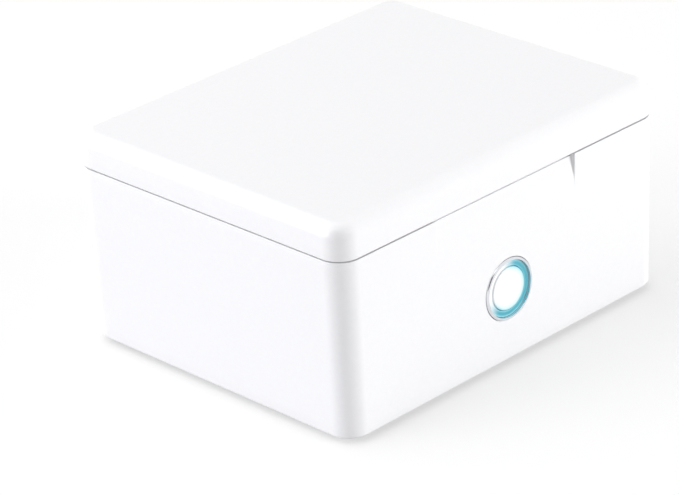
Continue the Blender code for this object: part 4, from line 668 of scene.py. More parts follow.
def lidShellPiece():
    # rows run from the middle of the ceiling down the inner wall, round the lip, up outside and over the top
    s = lidForm
    h = housing
    units = shellUnits()

    def ring(inset, z, shrink=1.0):
        points = ringPoints(units, h["halfX"], h["halfY"], h["corner"], inset, z)
        points[:, :2] *= shrink
        return points

    def quarter(angles, start, radius, foot, up):
        # a quarter round: the inset grows with 1 less the cosine, the height moves with 1 less the sine
        for a in angles:
            rows.append(ring(start + radius * (1 - math.cos(a)), foot + up * abs(radius) * (1 - math.sin(a))))

    wall, inside, lip, edge = h["wall"], s["innerEdge"], s["lip"], s["edge"]
    rows = [ring(wall + inside, s["ceiling"], share) for share in s["shares"][::-1]]
    quarter(arc(90, 0, 5), wall, inside, s["ceiling"], -1)
    quarter(arc(0, 90, 4), wall, -lip, h["lidBottom"], 1)
    quarter(arc(90, 0, 5), 0, lip, h["lidBottom"], 1)
    rows.append(ring(0, (h["lidBottom"] + h["top"] - edge) / 2))
    rows.append(ring(0, h["top"] - edge - s["crisp"]))
    quarter(arc(0, 90, 20), 0, edge, h["top"], -1)
    rows.append(ring(edge + s["crisp"], h["top"]))
    rows += [ring(edge + s["crisp"], h["top"], share) for share in s["shares"]]
    lid = newPiece("lidShell", gridMesh(np.stack(rows)), "white_plastic", "lid", ["lid_shell"])
    g = hinge
    half = g["width"] / 2
    carve(lid, "UNION", together([prismMesh(knuckleOutline(), x - half, x + half) for x in g["places"]]))
    span = half + over
    bore = g["pin"] + g["fit"]
    bores = [rodMesh(bore, x - span, x + span, "X", (g["y"], g["z"])) for x in g["places"]]
    carve(lid, "DIFFERENCE", together(bores))
    posts = []
    for sideX, sideY in fourCorners:
        place = (sideX * s["posts"][0], sideY * s["posts"][1])
        posts.append(rodMesh(s["postRadius"], s["postFoot"], s["ceiling"] + over, "Z", place))
    carve(lid, "UNION", together(posts))


def knuckleOutline():
    # a barrel about the pin, on an arm that hangs from the lid's rear wall
    g = hinge
    armInner = g["barrel"] - g["arm"]
    end = 2 * math.pi - math.acos(armInner / g["barrel"])
    top = housing["lidBottom"] + over
    outline = [(g["y"] + g["barrel"], top)]
    for angle in np.linspace(0, end, 40):
        outline.append((g["y"] + g["barrel"] * math.cos(angle), g["z"] - g["barrel"] * math.sin(angle)))
    outline.append((g["y"] + armInner, top))
    return outline


print("stage: lid shell")
lidShellPiece()


# The button and its lit ring

buttonForm = {
    "face": -37.572 * mm,
    "bezelOuter": 6.7 * mm, "bezelInner": 6.1 * mm, "bezelBack": -34.272 * mm,
    "proud": 0.4 * mm, "noseInner": 0.12 * mm, "noseOuter": 0.42 * mm,
    "lipRadius": 7.8 * mm, "lipFront": -35.272 * mm, "lipEdge": 0.1 * mm,
    "ringOuter": 6.0 * mm, "ringInner": 4.75 * mm, "ringSunk": 0.2 * mm, "ringEdges": (0.15 * mm, 0.05 * mm),
    "ringLip": 7.4 * mm, "ringLipY": (-33.972 * mm, -33.172 * mm), "ringBack": -29.272 * mm,
    "ringNotch": ((-7 * mm, -32.372 * mm, 15.3 * mm), (7 * mm, -28 * mm, 18.7 * mm)),
    "capRadius": 4.6 * mm, "capBack": -31.372 * mm, "capEdge": 0.25 * mm,
    "dish": 0.12 * mm, "dishShares": (0.02, 0.3, 0.6, 0.8),    # depth in its middle, and its rings
    "tabHalf": 5.6 * mm, "tabY": -32.172 * mm, "tabZ": (15.5 * mm, 18.5 * mm),
}


def bezelPiece():
    # a polished ring whose nose rounds off broadly outwards, held from behind by its lip
    s = buttonForm
    profile = roundedProfile([
        (s["bezelInner"], s["face"] - s["proud"], s["noseInner"]),
        (s["bezelOuter"], s["face"] - s["proud"], s["noseOuter"]),
        (s["bezelOuter"], s["lipFront"], 0), (s["lipRadius"], s["lipFront"], s["lipEdge"]),
        (s["lipRadius"], s["bezelBack"], s["lipEdge"]), (s["bezelInner"], s["bezelBack"], 0),
    ])
    middle = (0, buttonPlace["z"])
    turnedPiece("bezelRing", profile, middle, "Y", "chrome", "base", ["bezel_ring"], sides["ring"])


def capPiece():
    # the pressed cap: a shallow dish, whose depth falls with the square of the radius, and a round edge
    s = buttonForm
    radius = s["capRadius"]
    dish = [(radius * share, s["face"] + s["dish"] * (1 - share ** 2)) for share in s["dishShares"]]
    edge = roundedProfile([
        (*dish[-1], 0), (radius, s["face"], s["capEdge"]), (radius, s["capBack"], 0), (pole, s["capBack"], 0),
    ], False)
    profile = np.vstack([np.array(dish), edge[1:]])
    cap = turnedPiece(
        "buttonCap", profile, (0, buttonPlace["z"]), "Y", "cap_plastic", "button",
        ["button_cap"], sides["cap"], False)
    half, (lowZ, highZ) = s["tabHalf"], s["tabZ"]
    carve(cap, "UNION", blockMesh((-half, s["tabY"], lowZ), (half, s["capBack"], highZ)))


ringGlow = {
    # painted glow of the lit ring, in its colour by radius: deepest along a fine line, pale on both sides of
    # it
    "lit": [
        (4.75 * mm, "#8CCFDB"), (5.0 * mm, "#5AAEBD"), (5.3 * mm, "#459FB1"), (5.55 * mm, "#52A9B9"),
        (5.8 * mm, "#7EC6D2"), (6.0 * mm, "#B0E4EE")],
    "unlit": "#F1F4F5",
    "strong": math.radians(-30),    # the painted glow is strongest to the lower right
    "fade": (-0.87, 0.0),      # cosines of the angles from there at which it has gone and is whole
    # the cap's painted glow: the ring's light painted onto the cap near its edge, turning pale cyan towards
    # the ring
    "capLit": [(3.3 * mm, "#F4F5F6"), (4.0 * mm, "#E0F2F6"), (4.35 * mm, "#BCE5ED"), (4.6 * mm, "#98D5E1")],
    "capUnlit": "#F4F5F6",
    "grain": 0.6 * mm, "grainDepth": 0.0008 * mm,
}


def paintedLightByPlace(tree, bands, unlit):
    # painted light: the lit colours by distance from the button's axis, fading round it to the unlit colour
    s = ringGlow
    where = addNode(tree, "ShaderNodeTexCoord")
    centred = addNode(
        tree, "ShaderNodeMapping",
        {"Location": (0, 0, -buttonPlace["z"])}, {"Vector": where.outputs["Object"]})
    flat = addNode(
        tree, "ShaderNodeVectorMath", {"operation": "MULTIPLY", 1: (1, 0, 1)}, {0: centred.outputs["Vector"]})
    radius = addNode(tree, "ShaderNodeVectorMath", {"operation": "LENGTH"}, {0: flat.outputs["Vector"]})
    unit = addNode(tree, "ShaderNodeVectorMath", {"operation": "NORMALIZE"}, {0: flat.outputs["Vector"]})
    strong = (math.cos(s["strong"]), 0, math.sin(s["strong"]))
    facing = addNode(
        tree, "ShaderNodeVectorMath", {"operation": "DOT_PRODUCT", 1: strong}, {0: unit.outputs["Vector"]})
    share = addNode(
        tree, "ShaderNodeMapRange", {
            "interpolation_type": "SMOOTHSTEP", "From Min": s["fade"][0], "From Max": s["fade"][1]},
        {"Value": facing.outputs["Value"]})
    mix = addNode(tree, "ShaderNodeMix", {"data_type": "RGBA"}, {"Factor": share.outputs["Result"]})
    mix.inputs[mixColours[0]].default_value = hexColour(unlit)
    tree.links.new(colourBand(tree, radius.outputs["Value"], bands), mix.inputs[mixColours[1]])
    return mix.outputs[mixResult]


def colourBand(tree, value, stops):
    # a colour ramp over real lengths: stops are pairs of a length and a hex colour
    low, high = stops[0][0], stops[-1][0]
    share = addNode(tree, "ShaderNodeMapRange", {"From Min": low, "From Max": high}, {"Value": value})
    ramp = addNode(tree, "ShaderNodeValToRGB", {}, {"Fac": share.outputs["Result"]})
    ramp.color_ramp.interpolation = "EASE"
    while len(ramp.color_ramp.elements) < len(stops):
        ramp.color_ramp.elements.new(0.5)
    for element, (place, colour) in zip(ramp.color_ramp.elements, stops):
        element.position = (place - low) / (high - low)
        element.color = hexColour(colour)
    return ramp.outputs["Color"]


def paintedGlowPlastic(name, ior, roughness, strength, bands, unlit):
    # clear or translucent plastic lit from behind, whose glow is painted into its colour by place; it also
    # glows a little
    material, tree, shader = newMaterial(name, {"IOR": ior, "Emission Strength": strength})
    grain(tree, shader, ringGlow["grain"], ringGlow["grainDepth"], roughness)
    colour = paintedLightByPlace(tree, bands, unlit)
    tree.links.new(colour, shader.inputs["Base Color"])
    tree.links.new(colour, shader.inputs["Emission Color"])
    return material


# the ring's painted glow
finishes["light_pipe"] = paintedGlowPlastic(
    "mouldedLitAcrylic", 1.49, (0.2, 0.26), 0.12, ringGlow["lit"], ringGlow["unlit"])
# the cap, with the ring's light painted onto its edge
finishes["cap_plastic"] = paintedGlowPlastic(
    "mouldedTranslucentAbs", 1.53, (0.26, 0.32), 0.05, ringGlow["capLit"], ringGlow["capUnlit"])


def lightRingPiece():
    # the light pipe's visible ring, with a softly crowned face
    s = buttonForm
    front = s["face"] + s["ringSunk"]
    inner, outer, lip = s["ringInner"], s["ringOuter"], s["ringLip"]
    lipFront, lipBack = s["ringLipY"]
    profile = roundedProfile([
        (inner, front, s["ringEdges"][0]), (outer, front, s["ringEdges"][1]), (outer, lipFront, 0),
        (lip, lipFront, 0), (lip, lipBack, 0), (outer, lipBack, 0), (outer, s["ringBack"], 0),
        (inner, s["ringBack"], 0),
    ])
    middle = (0, buttonPlace["z"])
    ring = turnedPiece(
        "lightRing", profile, middle, "Y", "light_pipe", "base", ["light_ring"], sides["ring"])
    carve(ring, "DIFFERENCE", blockMesh(*s["ringNotch"]))


print("stage: button")
bezelPiece()
lightRingPiece()
capPiece()


# Inside the lid and the base: what shows when the lid is open

innerUnits = evenUnits(9, 12)


def chamberPiece(name, profile, finish, body, replaced, closed=False):
    # a profile of outsets and heights with rounded corners, carried round the chamber's outline
    rings = [chamberRing(innerUnits, outset, z) for outset, z in roundedProfile(profile, closed)]
    return newPiece(name, gridMesh(np.stack(rings), closed), finish, body, replaced)


tubForm = {
    "bottom": 18.2 * mm, "floor": 19.2 * mm, "wall": 1.0 * mm, "press": 1.2 * mm,
    "flange": 2.0 * mm, "flangeBottom": 38.3 * mm, "lip": 0.7 * mm,
    "slot": 0.9 * mm, "pitch": 3.4 * mm, "slotHalf": 12.0 * mm, "slots": 7,
    "ventZ": 32.7 * mm, "ventHalf": 4.0 * mm, "vents": 5,
    "windowHalf": (6.0 * mm, 3.5 * mm), "windowZ": 28.0 * mm, "windowCorner": 1 * mm,
    "deep": 5 * mm,            # how far the walls' rows reach in over the floor
    "edge": 0.3 * mm, "cut": 2 * mm,
}
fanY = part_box("fan_housing")[0].y / 2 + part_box("fan_housing")[1].y / 2
chamberY = (chamber["rear"] + chamber["front"]) / 2


def chamberTubPiece():
    # deep-drawn sheet: soft bends at the floor and at the flange, slots with round ends punched through
    s = tubForm
    deep, edge, flange, top = s["deep"], s["edge"], s["flange"], housing["seam"]
    profile = [
        (-deep, s["bottom"], 0), (0, s["bottom"], s["press"] + s["wall"]), (0, s["flangeBottom"], edge),
        (flange, s["flangeBottom"], edge), (flange, top, edge),
        (-s["wall"], top, s["lip"]), (-s["wall"], s["floor"], s["press"]), (-deep, s["floor"], 0)]
    tub = chamberPiece("chamberTub", profile, "aluminium", "base", ["chamber_tub"])
    holes = []
    for place in rowOfPlaces(s["slots"], s["pitch"]):
        outline = roundRect((0, fanY + place), s["slotHalf"], s["slot"], s["slot"])
        holes.append(prismMesh(outline, s["bottom"] - over, s["floor"] + over, "Z"))
    for side in (-1, 1):
        for place in rowOfPlaces(s["vents"], s["pitch"]):
            outline = roundRect((chamberY + place, s["ventZ"]), s["slot"], s["ventHalf"], s["slot"])
            wall = side * chamber["halfX"]
            holes.append(prismMesh(outline, wall - s["cut"], wall + over, "X"))
    outline = roundRect((0, s["windowZ"]), *s["windowHalf"], s["windowCorner"])
    holes.append(prismMesh(outline, chamber["rear"] - s["cut"], chamber["rear"] + over, "Y"))
    carve(tub, "DIFFERENCE", together(holes))


trayForm = {
    "inset": 1.8 * mm, "wall": 1.2 * mm, "foot": 19.5 * mm, "floorBottom": 21.3 * mm, "floor": 22.5 * mm,
    "top": 28.5 * mm, "edge": 0.5 * mm, "cove": 1.2 * mm,
    "rib": 0.7 * mm, "slot": 1.0 * mm, "pitch": 4.2 * mm, "slotInset": 2.2 * mm, "slots": 10,
    "deep": 5.4 * mm,          # how far the walls' rows reach in over the floor
    "small": 0.3 * mm, "ribRoot": 0.5 * mm,
}


def dryingTrayPiece():
    # a moulded tray with round rims and coved bays, a rib between them and a slotted floor
    s = trayForm
    inner = -s["inset"] - s["wall"]
    profile = [
        (-s["deep"], s["floorBottom"], 0), (inner, s["floorBottom"], s["small"]),
        (inner, s["foot"], s["small"]), (-s["inset"], s["foot"], s["edge"]),
        (-s["inset"], s["top"], s["edge"]), (inner, s["top"], s["edge"]),
        (inner, s["floor"], s["cove"]), (-s["deep"], s["floor"], 0)]
    tray = chamberPiece("dryingTray", profile, "liner_plastic", "base", ["drying_tray"])
    reach = (chamber["rear"] - chamber["front"]) / 2 + inner + s["wall"] / 2
    half, root, waist = s["rib"], s["floor"] - s["ribRoot"], s["floor"] + s["cove"]
    rib = [(-half * 2, root), (half * 2, root), (half, waist)]
    rib += [(half * math.cos(a), s["top"] - half + half * math.sin(a)) for a in arc(0, 180, 10)]
    rib.append((-half, waist))
    carve(tray, "UNION", prismMesh(rib, chamberY - reach, chamberY + reach, "Y"))
    bayHalf = (chamber["halfX"] + inner - s["rib"]) / 2
    slots = []
    for side in (-1, 1):
        for place in rowOfPlaces(s["slots"], s["pitch"]):
            centre = (side * (s["rib"] + bayHalf), chamberY + place)
            outline = roundRect(centre, bayHalf - s["slotInset"], s["slot"], s["slot"])
            slots.append(prismMesh(outline, s["floorBottom"] - over, s["floor"] + over, "Z"))
    carve(tray, "DIFFERENCE", together(slots))


linerForm = {
    "inset": 2.3 * mm, "bottom": 40.4 * mm, "top": 42.8 * mm, "edge": 0.6 * mm,
    "groove": (-0.1 * mm, 2.1 * mm), "grooveTop": 41.9 * mm, "panel": 0.5 * mm, "panelInset": 3.0 * mm,
    "seal": (0.1 * mm, 1.9 * mm), "sealBottom": 39.6 * mm, "sealTop": 41.6 * mm,
    "deep": 5.4 * mm, "margin": 1.5 * mm,    # how far the edges' rows reach in over the faces
    "panelEdges": (0.3 * mm, 0.2 * mm, 0.15 * mm), "topEdge": 0.3 * mm, "sealEdges": (0.7 * mm, 0.2 * mm),
}


def lidInnerPieces():
    # the liner with a recessed middle panel and its seal's groove, and the round-lipped seal
    s = linerForm
    near, far = s["groove"]
    panel, bottom, margin = s["panelInset"], s["bottom"], s["inset"] + s["margin"]
    edges = s["panelEdges"]
    inner = [
        (-s["deep"], bottom + s["panel"], 0), (-panel, bottom + s["panel"], edges[0]),
        (-panel, bottom, edges[1]), (near, bottom, edges[2]),
        (near, s["grooveTop"], 0), (far, s["grooveTop"], 0), (far, bottom, 0)]
    outer = [
        (margin, bottom, 0), (s["inset"], bottom, s["edge"]),
        (s["inset"], s["top"], s["topEdge"]), (margin, s["top"], 0)]
    rings = [chamberRing(innerUnits, outset, z) for outset, z in roundedProfile(inner, False)]
    for inset, z in roundedProfile(outer, False):
        rings.append(ringPoints(innerUnits, housing["halfX"], housing["halfY"], housing["corner"], inset, z))
    liner = newPiece("lidLiner", gridMesh(np.stack(rings)), "liner_plastic", "lid", ["lid_liner"])
    pockets = []
    m = magnetPocket
    for x in (-m["x"], m["x"]):
        pockets.append(rodMesh(m["radius"], m["lidZ"], s["top"] + over, "Z", (x, m["y"]), sides["pocket"]))
    carve(liner, "DIFFERENCE", together(pockets))
    near, far = s["seal"]
    soft, small = s["sealEdges"]
    profile = [
        (near, s["sealBottom"], soft), (far, s["sealBottom"], soft), (far, s["sealTop"], small),
        (near, s["sealTop"], small)]
    chamberPiece("lidSeal", profile, "silicone", "lid", ["lid_seal"], True)


coverForm = {
    "halfX": 43.425 * mm, "halfY": 35.075 * mm, "corner": 2.45 * mm,
    "bottom": 1.2 * mm, "top": 3.6 * mm, "edge": 0.4 * mm,
    "shoulder": 2.6 * mm, "head": 2.0 * mm, "shank": 1.0 * mm,
    "feet": (34 * mm, 28.05 * mm), "seat": 4.3 * mm, "seatDepth": 0.8 * mm,
    "grille": 12.4 * mm, "slot": 0.9 * mm, "pitch": 3.0 * mm, "slots": 8,
    "post": 2.2 * mm, "bite": 2.8 * mm, "tipRoom": 0.1 * mm,
    "deep": 2.3 * mm, "topEdge": 0.2 * mm,
}


def bottomCoverPiece():
    # a flat moulded cover with round-ended air slots inside a circle, seats for the feet and stepped holes
    s = coverForm
    units = evenUnits(5, 8)
    profile = [
        (s["deep"], s["bottom"], 0), (0, s["bottom"], s["edge"]), (0, s["top"], s["topEdge"]),
        (s["deep"], s["top"], 0)]
    rings = [
        ringPoints(units, s["halfX"], s["halfY"], s["corner"], inset, z)
        for inset, z in roundedProfile(profile, False)]
    cover = newPiece("bottomCover", gridMesh(np.stack(rings)), "white_plastic", "base", ["bottom_cover"])
    posts, holes = [], []
    for node in ("fan_screw_left", "fan_screw_right", "board_screw_left", "board_screw_right"):
        low, high, centre = boxOf(node)
        top = low.z + s["bite"]
        posts.append(rodMesh(s["post"], s["bottom"] + over, top, "Z", centre[:2], sides["post"]))
        holes.append(rodMesh(s["shank"], low.z - s["tipRoom"], top + over, "Z", centre[:2]))
    carve(cover, "UNION", together(posts))
    for sideX, sideY in fourCorners:
        place = (sideX * s["feet"][0], sideY * s["feet"][1])
        seatTop = s["bottom"] + s["seatDepth"]
        holes.append(rodMesh(s["seat"], s["bottom"] - over, seatTop, "Z", place, sides["hub"]))
        place = (sideX * housing["screws"][0], sideY * housing["screws"][1])
        stepped = [
            (s["head"], s["bottom"] - over), (s["head"], s["shoulder"]),
            (s["shank"], s["shoulder"]), (s["shank"], s["top"] + over)]
        holes.append(turnedMesh(stepped, place, "Z", sides["post"], False))
    for place in rowOfPlaces(s["slots"], s["pitch"]):
        half = math.sqrt(s["grille"] ** 2 - place ** 2)
        outline = roundRect((0, fanY + place), half, s["slot"], s["slot"])
        holes.append(prismMesh(outline, s["bottom"] - over, s["top"] + over, "Z"))
    carve(cover, "DIFFERENCE", together(holes))


cornerNames = ("front_left", "front_right", "rear_left", "rear_right")
footForm = {
    "dish": 0.25 * mm, "dishShares": (0.6, 0.68),    # depth, and where it ends as shares of the radius
    "dishEdge": 0.2 * mm, "edge": 0.45 * mm, "topEdge": 0.1 * mm,
}


def footPieces():
    # moulded rubber feet, dished underneath
    s = footForm
    for name in cornerNames:
        node = "foot_" + name
        high, radius, middle = roundOf(node, "Z")[1:]
        inner, outer = (radius * share for share in s["dishShares"])
        profile = roundedProfile([
            (pole, s["dish"], 0), (inner, s["dish"], s["dishEdge"]), (outer, 0, s["dishEdge"]),
            (radius, 0, s["edge"]), (radius, high, s["topEdge"]), (pole, high, 0)], False)
        turnedPiece(
            "foot" + camel(name), profile, middle, "Z", "rubber", "base", [node], sides["wheel"], False)


def camel(name):
    # a node's name as the end of a piece's name
    return "".join(word.capitalize() for word in name.split("_"))


def boxOf(node):
    # a node's box and its middle
    low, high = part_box(node)
    return low, high, (low + high) / 2


def placesOf(axis):
    # the place of a named axis among X, Y and Z, and those of the two across it
    k = "XYZ".index(axis)
    return k, [i for i in range(3) if i != k]


def roundOf(node, axis):
    # a round node's two ends along its axis, its radius, and its middle across the axis
    low, high, centre = boxOf(node)
    k, across = placesOf(axis)
    return low[k], high[k], (high[across[0]] - low[across[0]]) / 2, (centre[across[0]], centre[across[1]])


def crossOutline(middle, arm, reach):
    # an upright cross about its middle, from half the width of its arms and their reach
    corners = [(reach, -arm), (reach, arm), (arm, arm), (arm, reach), (-arm, reach), (-arm, arm)]
    return [(middle[0] + side * a, middle[1] + side * b) for side in (1, -1) for a, b in corners]


screwForm = {
    "pitch": 0.55 * mm, "depth": 0.15 * mm, "head": 1.1 * mm, "crown": 0.5 * mm, "shank": 0.9 * mm,
    "taper": 0.9 * mm, "socket": 0.65 * mm, "arm": 0.2 * mm, "reach": 0.85 * mm,
    "neck": 0.05 * mm, "sides": 28, "rowsPerPitch": 7,
    "ridge": (1.6, 3.2),       # how sharp the ridge is: its height before the clip, and its slope
    "tip": (0.12, 0.7),        # the tip's share of the radius, and the power that rounds it
}


def screwPiece(node, axis, headEnd):
    # a pan-head screw whose thread fades at the tip
    # the ridge is a clipped triangle wave of the place in pitches less the angle in turns
    s = screwForm
    low, high, head, middle = roundOf(node, axis)
    length = high - low
    core = s["shank"] - s["depth"]
    angle = np.linspace(0, 2 * math.pi, s["sides"], endpoint=False)
    top = roundedProfile([
        (pole, 0, 0), (head, 0, s["crown"]), (head, s["head"], s["neck"]), (core, s["head"], 0)], False)
    w = np.arange(s["head"] + s["neck"], length, s["pitch"] / s["rowsPerPitch"])[:, None]
    height, slope = s["ridge"]
    ridge = np.clip(height - slope * np.abs((w / s["pitch"] - angle / (2 * math.pi)) % 1 - 0.5), 0, 1)
    least, power = s["tip"]
    slim = np.clip((length - w) / s["taper"], least, 1) ** power
    radius = (core + s["depth"] * ridge * (slim >= 1)) * slim
    radius = np.vstack([np.broadcast_to(top[:, :1], (len(top), len(angle))), radius])
    w = np.vstack([top[:, 1:], w])
    face = high if headEnd > 0 else low
    u = middle[0] + radius * np.cos(angle)
    v = middle[1] + radius * np.sin(angle)
    mesh = gridMesh(alongAxis(axis, u, v, np.broadcast_to(face - headEnd * w, u.shape)))
    screw = newPiece(camel(node), mesh, "steel", "base", [node])
    cross = crossOutline(middle, s["arm"], s["reach"])
    carve(screw, "DIFFERENCE", prismMesh(cross, face - headEnd * s["socket"], face + headEnd * over, axis))


def screwPieces():
    # all ten screws of the dryer, which share one size
    for name in cornerNames:
        screwPiece("cover_screw_" + name, "Z", -1)
    for side in ("left", "right"):
        screwPiece("fan_screw_" + side, "Z", 1)
        screwPiece("board_screw_" + side, "Z", 1)
        screwPiece("button_screw_" + side, "Y", 1)


print("stage: inner pieces")
chamberTubPiece()
dryingTrayPiece()
lidInnerPieces()
print("stage: bottom")
bottomCoverPiece()
footPieces()
screwPieces()


# Pins, magnets and the bearing

def rodPiece(node, axis, edge, finish, body, bore=0.0):
    # a turned rod or sleeve with softened ends, in its node's place
    low, high, radius, middle = roundOf(node, axis)
    inside, innerEdge = (bore, edge) if bore else (pole, 0)
    profile = roundedProfile([
        (inside, low, innerEdge), (radius, low, edge), (radius, high, edge), (inside, high, innerEdge)],
        bool(bore))
    turnedPiece(camel(node), profile, middle, axis, finish, body, [node], sides["hub"], bool(bore))


rodEdges = {
    "pin": 0.15 * mm, "magnet": 0.2 * mm, "bearing": 0.1 * mm, "plunger": 0.15 * mm,
    "bearingBore": 0.8 * mm,
}

print("stage: pins and magnets")
for side in ("left", "right"):
    rodPiece("hinge_pin_" + side, "X", rodEdges["pin"], "steel", "base")
    rodPiece("base_magnet_" + side, "Z", rodEdges["magnet"], "magnet_plate", "base")
    rodPiece("lid_magnet_" + side, "Z", rodEdges["magnet"], "magnet_plate", "lid")
rodPiece("fan_bearing", "Z", rodEdges["bearing"], "brass", "base", rodEdges["bearingBore"])


# The fan

fanForm = {
    "corner": 2.2 * mm, "edge": 0.35 * mm, "mouth": 0.5 * mm, "bore": 13.6 * mm, "screws": 12 * mm,
    "screwHole": 1 * mm, "spokes": 3, "spokeHalf": 0.8 * mm, "spokeTop": 6.6 * mm, "spokeBite": 0.5 * mm,
    "hub": 5.0 * mm, "boss": 2.8 * mm, "bossTop": 9.1 * mm, "pocket": 1.9 * mm, "pocketBottom": 5.7 * mm,
    "shaft": 0.75 * mm, "room": 3.3 * mm, "rotorBottom": 6.9 * mm, "rotorTop": 12.0 * mm, "roof": 11.0 * mm,
    "shaftTip": 6.5 * mm, "blades": 7, "root": 4.15 * mm, "tip": 12.9 * mm, "bladeHalf": 0.4 * mm,
    "bladeZ": (7.3 * mm, 11.6 * mm), "sweep": (1.4 * mm, 2.6 * mm), "camber": 0.6 * mm,
    "shaftEdges": (0.1 * mm, 0.2 * mm, 0.3 * mm), "cupEdge": 0.15 * mm, "crown": 0.6 * mm,
}


def fanHousingPiece():
    # a square frame whose bore has rounded mouths, with a motor plate on three spokes
    s = fanForm
    low, high, centre = boxOf("fan_housing")
    units = evenUnits(13, 5)
    half = (high.x - low.x) / 2
    middle = (0, fanY)

    def square(inset, z):
        return ringPoints(units, half, half, s["corner"], inset, z, fanY)

    def circle(radius, z):
        # the same columns brought onto a circle
        ring = square(0, z)
        turn = np.arctan2(ring[:, 1] - fanY, ring[:, 0])
        return np.stack([radius * np.cos(turn), fanY + radius * np.sin(turn), ring[:, 2]], axis=-1)

    edge, mouth, bore = s["edge"], s["mouth"], s["bore"]
    turns = [(1 - math.sin(a), 1 - math.cos(a)) for a in arc(0, 90, 4)]
    rings = [square(edge * a, low.z + edge * b) for a, b in turns]
    rings += [square(edge * b, high.z - edge * a) for a, b in turns]
    rings += [circle(bore + mouth * a, high.z - mouth * b) for a, b in turns]
    rings += [circle(bore + mouth * b, low.z + mouth * a) for a, b in turns]
    frameMesh = gridMesh(np.stack(rings), True)
    fanFrame = newPiece("fanHousing", frameMesh, "dark_plastic", "base", ["fan_housing"])
    holes = []
    for sideX, sideY in fourCorners:
        place = (sideX * s["screws"], fanY + sideY * s["screws"])
        holes.append(rodMesh(s["screwHole"], low.z - over, high.z + over, "Z", place))
    carve(fanFrame, "DIFFERENCE", together(holes))
    carve(fanFrame, "UNION", rodMesh(s["hub"], low.z, s["spokeTop"], "Z", middle, sides["hub"]))
    spokes = []
    for i in range(s["spokes"]):
        turn = 2 * math.pi * i / s["spokes"]
        along = np.array((math.cos(turn), math.sin(turn)))
        side = np.array((-along[1], along[0])) * s["spokeHalf"]
        inside, outside = along * (s["hub"] - s["spokeBite"]), along * (bore + s["spokeBite"])
        corners = [inside - side, outside - side, outside + side, inside + side]
        spokes.append(prismMesh([(x, fanY + y) for x, y in corners], low.z, s["spokeTop"], "Z"))
    carve(fanFrame, "UNION", together(spokes))
    carve(fanFrame, "UNION", rodMesh(s["boss"], low.z, s["bossTop"], "Z", middle, sides["pocket"]))
    pocket = rodMesh(s["pocket"], s["pocketBottom"], s["bossTop"] + over, "Z", middle, sides["pocket"])
    carve(fanFrame, "DIFFERENCE", pocket)


def fanRotorPiece():
    # a cupped hub with its shaft, and blades whose sections are cambered ovals: across the blade lies
    # the sweep times the cosine, the camber times the squared sine and half the thickness times the sine
    s = fanForm
    tipEdge, rootEdge, roofEdge = s["shaftEdges"]
    cup = s["cupEdge"]
    profile = roundedProfile([
        (pole, s["shaftTip"], 0), (s["shaft"], s["shaftTip"], tipEdge), (s["shaft"], s["roof"], rootEdge),
        (s["room"], s["roof"], roofEdge), (s["room"], s["rotorBottom"], cup),
        (s["hub"], s["rotorBottom"], cup), (s["hub"], s["rotorTop"], s["crown"]), (pole, s["rotorTop"], 0)],
        False)
    rotor = turnedPiece(
        "fanRotor", profile, (0, fanY), "Z", "dark_plastic", "rotor", ["fan_rotor"], sides["wheel"], False)
    low, high = s["bladeZ"]
    t = np.linspace(0, 2 * math.pi, 20, endpoint=False)
    share = np.linspace(0, 1, 8)[:, None]
    radius = s["root"] + (s["tip"] - s["root"]) * share
    sweep = s["sweep"][0] + (s["sweep"][1] - s["sweep"][0]) * share
    across = sweep * np.cos(t) + s["camber"] * (np.sin(t) ** 2 - 0.5) + s["bladeHalf"] * np.sin(t)
    along = np.sqrt(radius ** 2 - across ** 2)
    z = np.broadcast_to((low + high) / 2 + (high - low) / 2 * np.cos(t), across.shape)
    blades = []
    for i in range(s["blades"]):
        turn = 2 * math.pi * i / s["blades"]
        x = along * math.cos(turn) - across * math.sin(turn)
        y = fanY + along * math.sin(turn) + across * math.cos(turn)
        blades.append(gridMesh(np.stack([x, y, z], axis=-1)))
    carve(rotor, "UNION", together(blades))


print("stage: fan")
fanHousingPiece()
fanRotorPiece()


# Electronics

def softBlock(node, edge, finish):
    # a block-shaped component with softened edges, in its node's place
    low, high, centre = boxOf(node)
    return newPiece(camel(node), blockMesh(low, high, edge), finish, "base", [node])


chipForm = {
    "legs": 7, "legHalf": 0.14 * mm, "reach": 0.8 * mm, "foot": 0.35 * mm, "thick": 0.12 * mm,
    "edge": 0.12 * mm, "legBite": 0.1 * mm, "bend": (0.15 * mm, 0.12 * mm),
    "dimple": 0.4 * mm, "dimpleDepth": 0.1 * mm, "dimpleInset": 1 * mm,
}


def chipPieces():
    # a square package with seven bent legs on each side and a dimple that marks its first leg
    s = chipForm
    low, high, centre = boxOf("controller_chip")
    inset = Vector((s["reach"], s["reach"], 0))
    package = blockMesh(low + inset, high - inset, s["edge"])
    body = newPiece("controllerChip", package, "dark_plastic", "base", ["controller_chip"])
    dimple = (low.x + s["reach"] + s["dimpleInset"], low.y + s["reach"] + s["dimpleInset"])
    carve(body, "DIFFERENCE", rodMesh(s["dimple"], high.z - s["dimpleDepth"], high.z + over, "Z", dimple))
    half = (high.x - low.x) / 2
    outside, inside = s["bend"]
    root, knee, toe = half - s["reach"] - s["legBite"], half - s["foot"] - outside, half
    shoulder, thick = centre.z - low.z, s["thick"]
    outline = [
        (root, shoulder), (knee, shoulder), (knee + outside, thick), (toe, thick),
        (toe, 0), (knee, 0), (knee - inside, shoulder - thick), (root, shoulder - thick)]
    legs = []
    for place in rowOfPlaces(s["legs"], 2 * root / (s["legs"] + 1)):
        for side in (-1, 1):
            a = [(centre.y + side * u, low.z + v) for u, v in outline]
            legs.append(prismMesh(a, centre.x + place - s["legHalf"], centre.x + place + s["legHalf"], "X"))
            b = [(centre.x + side * u, low.z + v) for u, v in outline]
            legs.append(prismMesh(b, centre.y + place - s["legHalf"], centre.y + place + s["legHalf"], "Y"))
    newPiece("chipLegs", together(legs), "steel", "base")


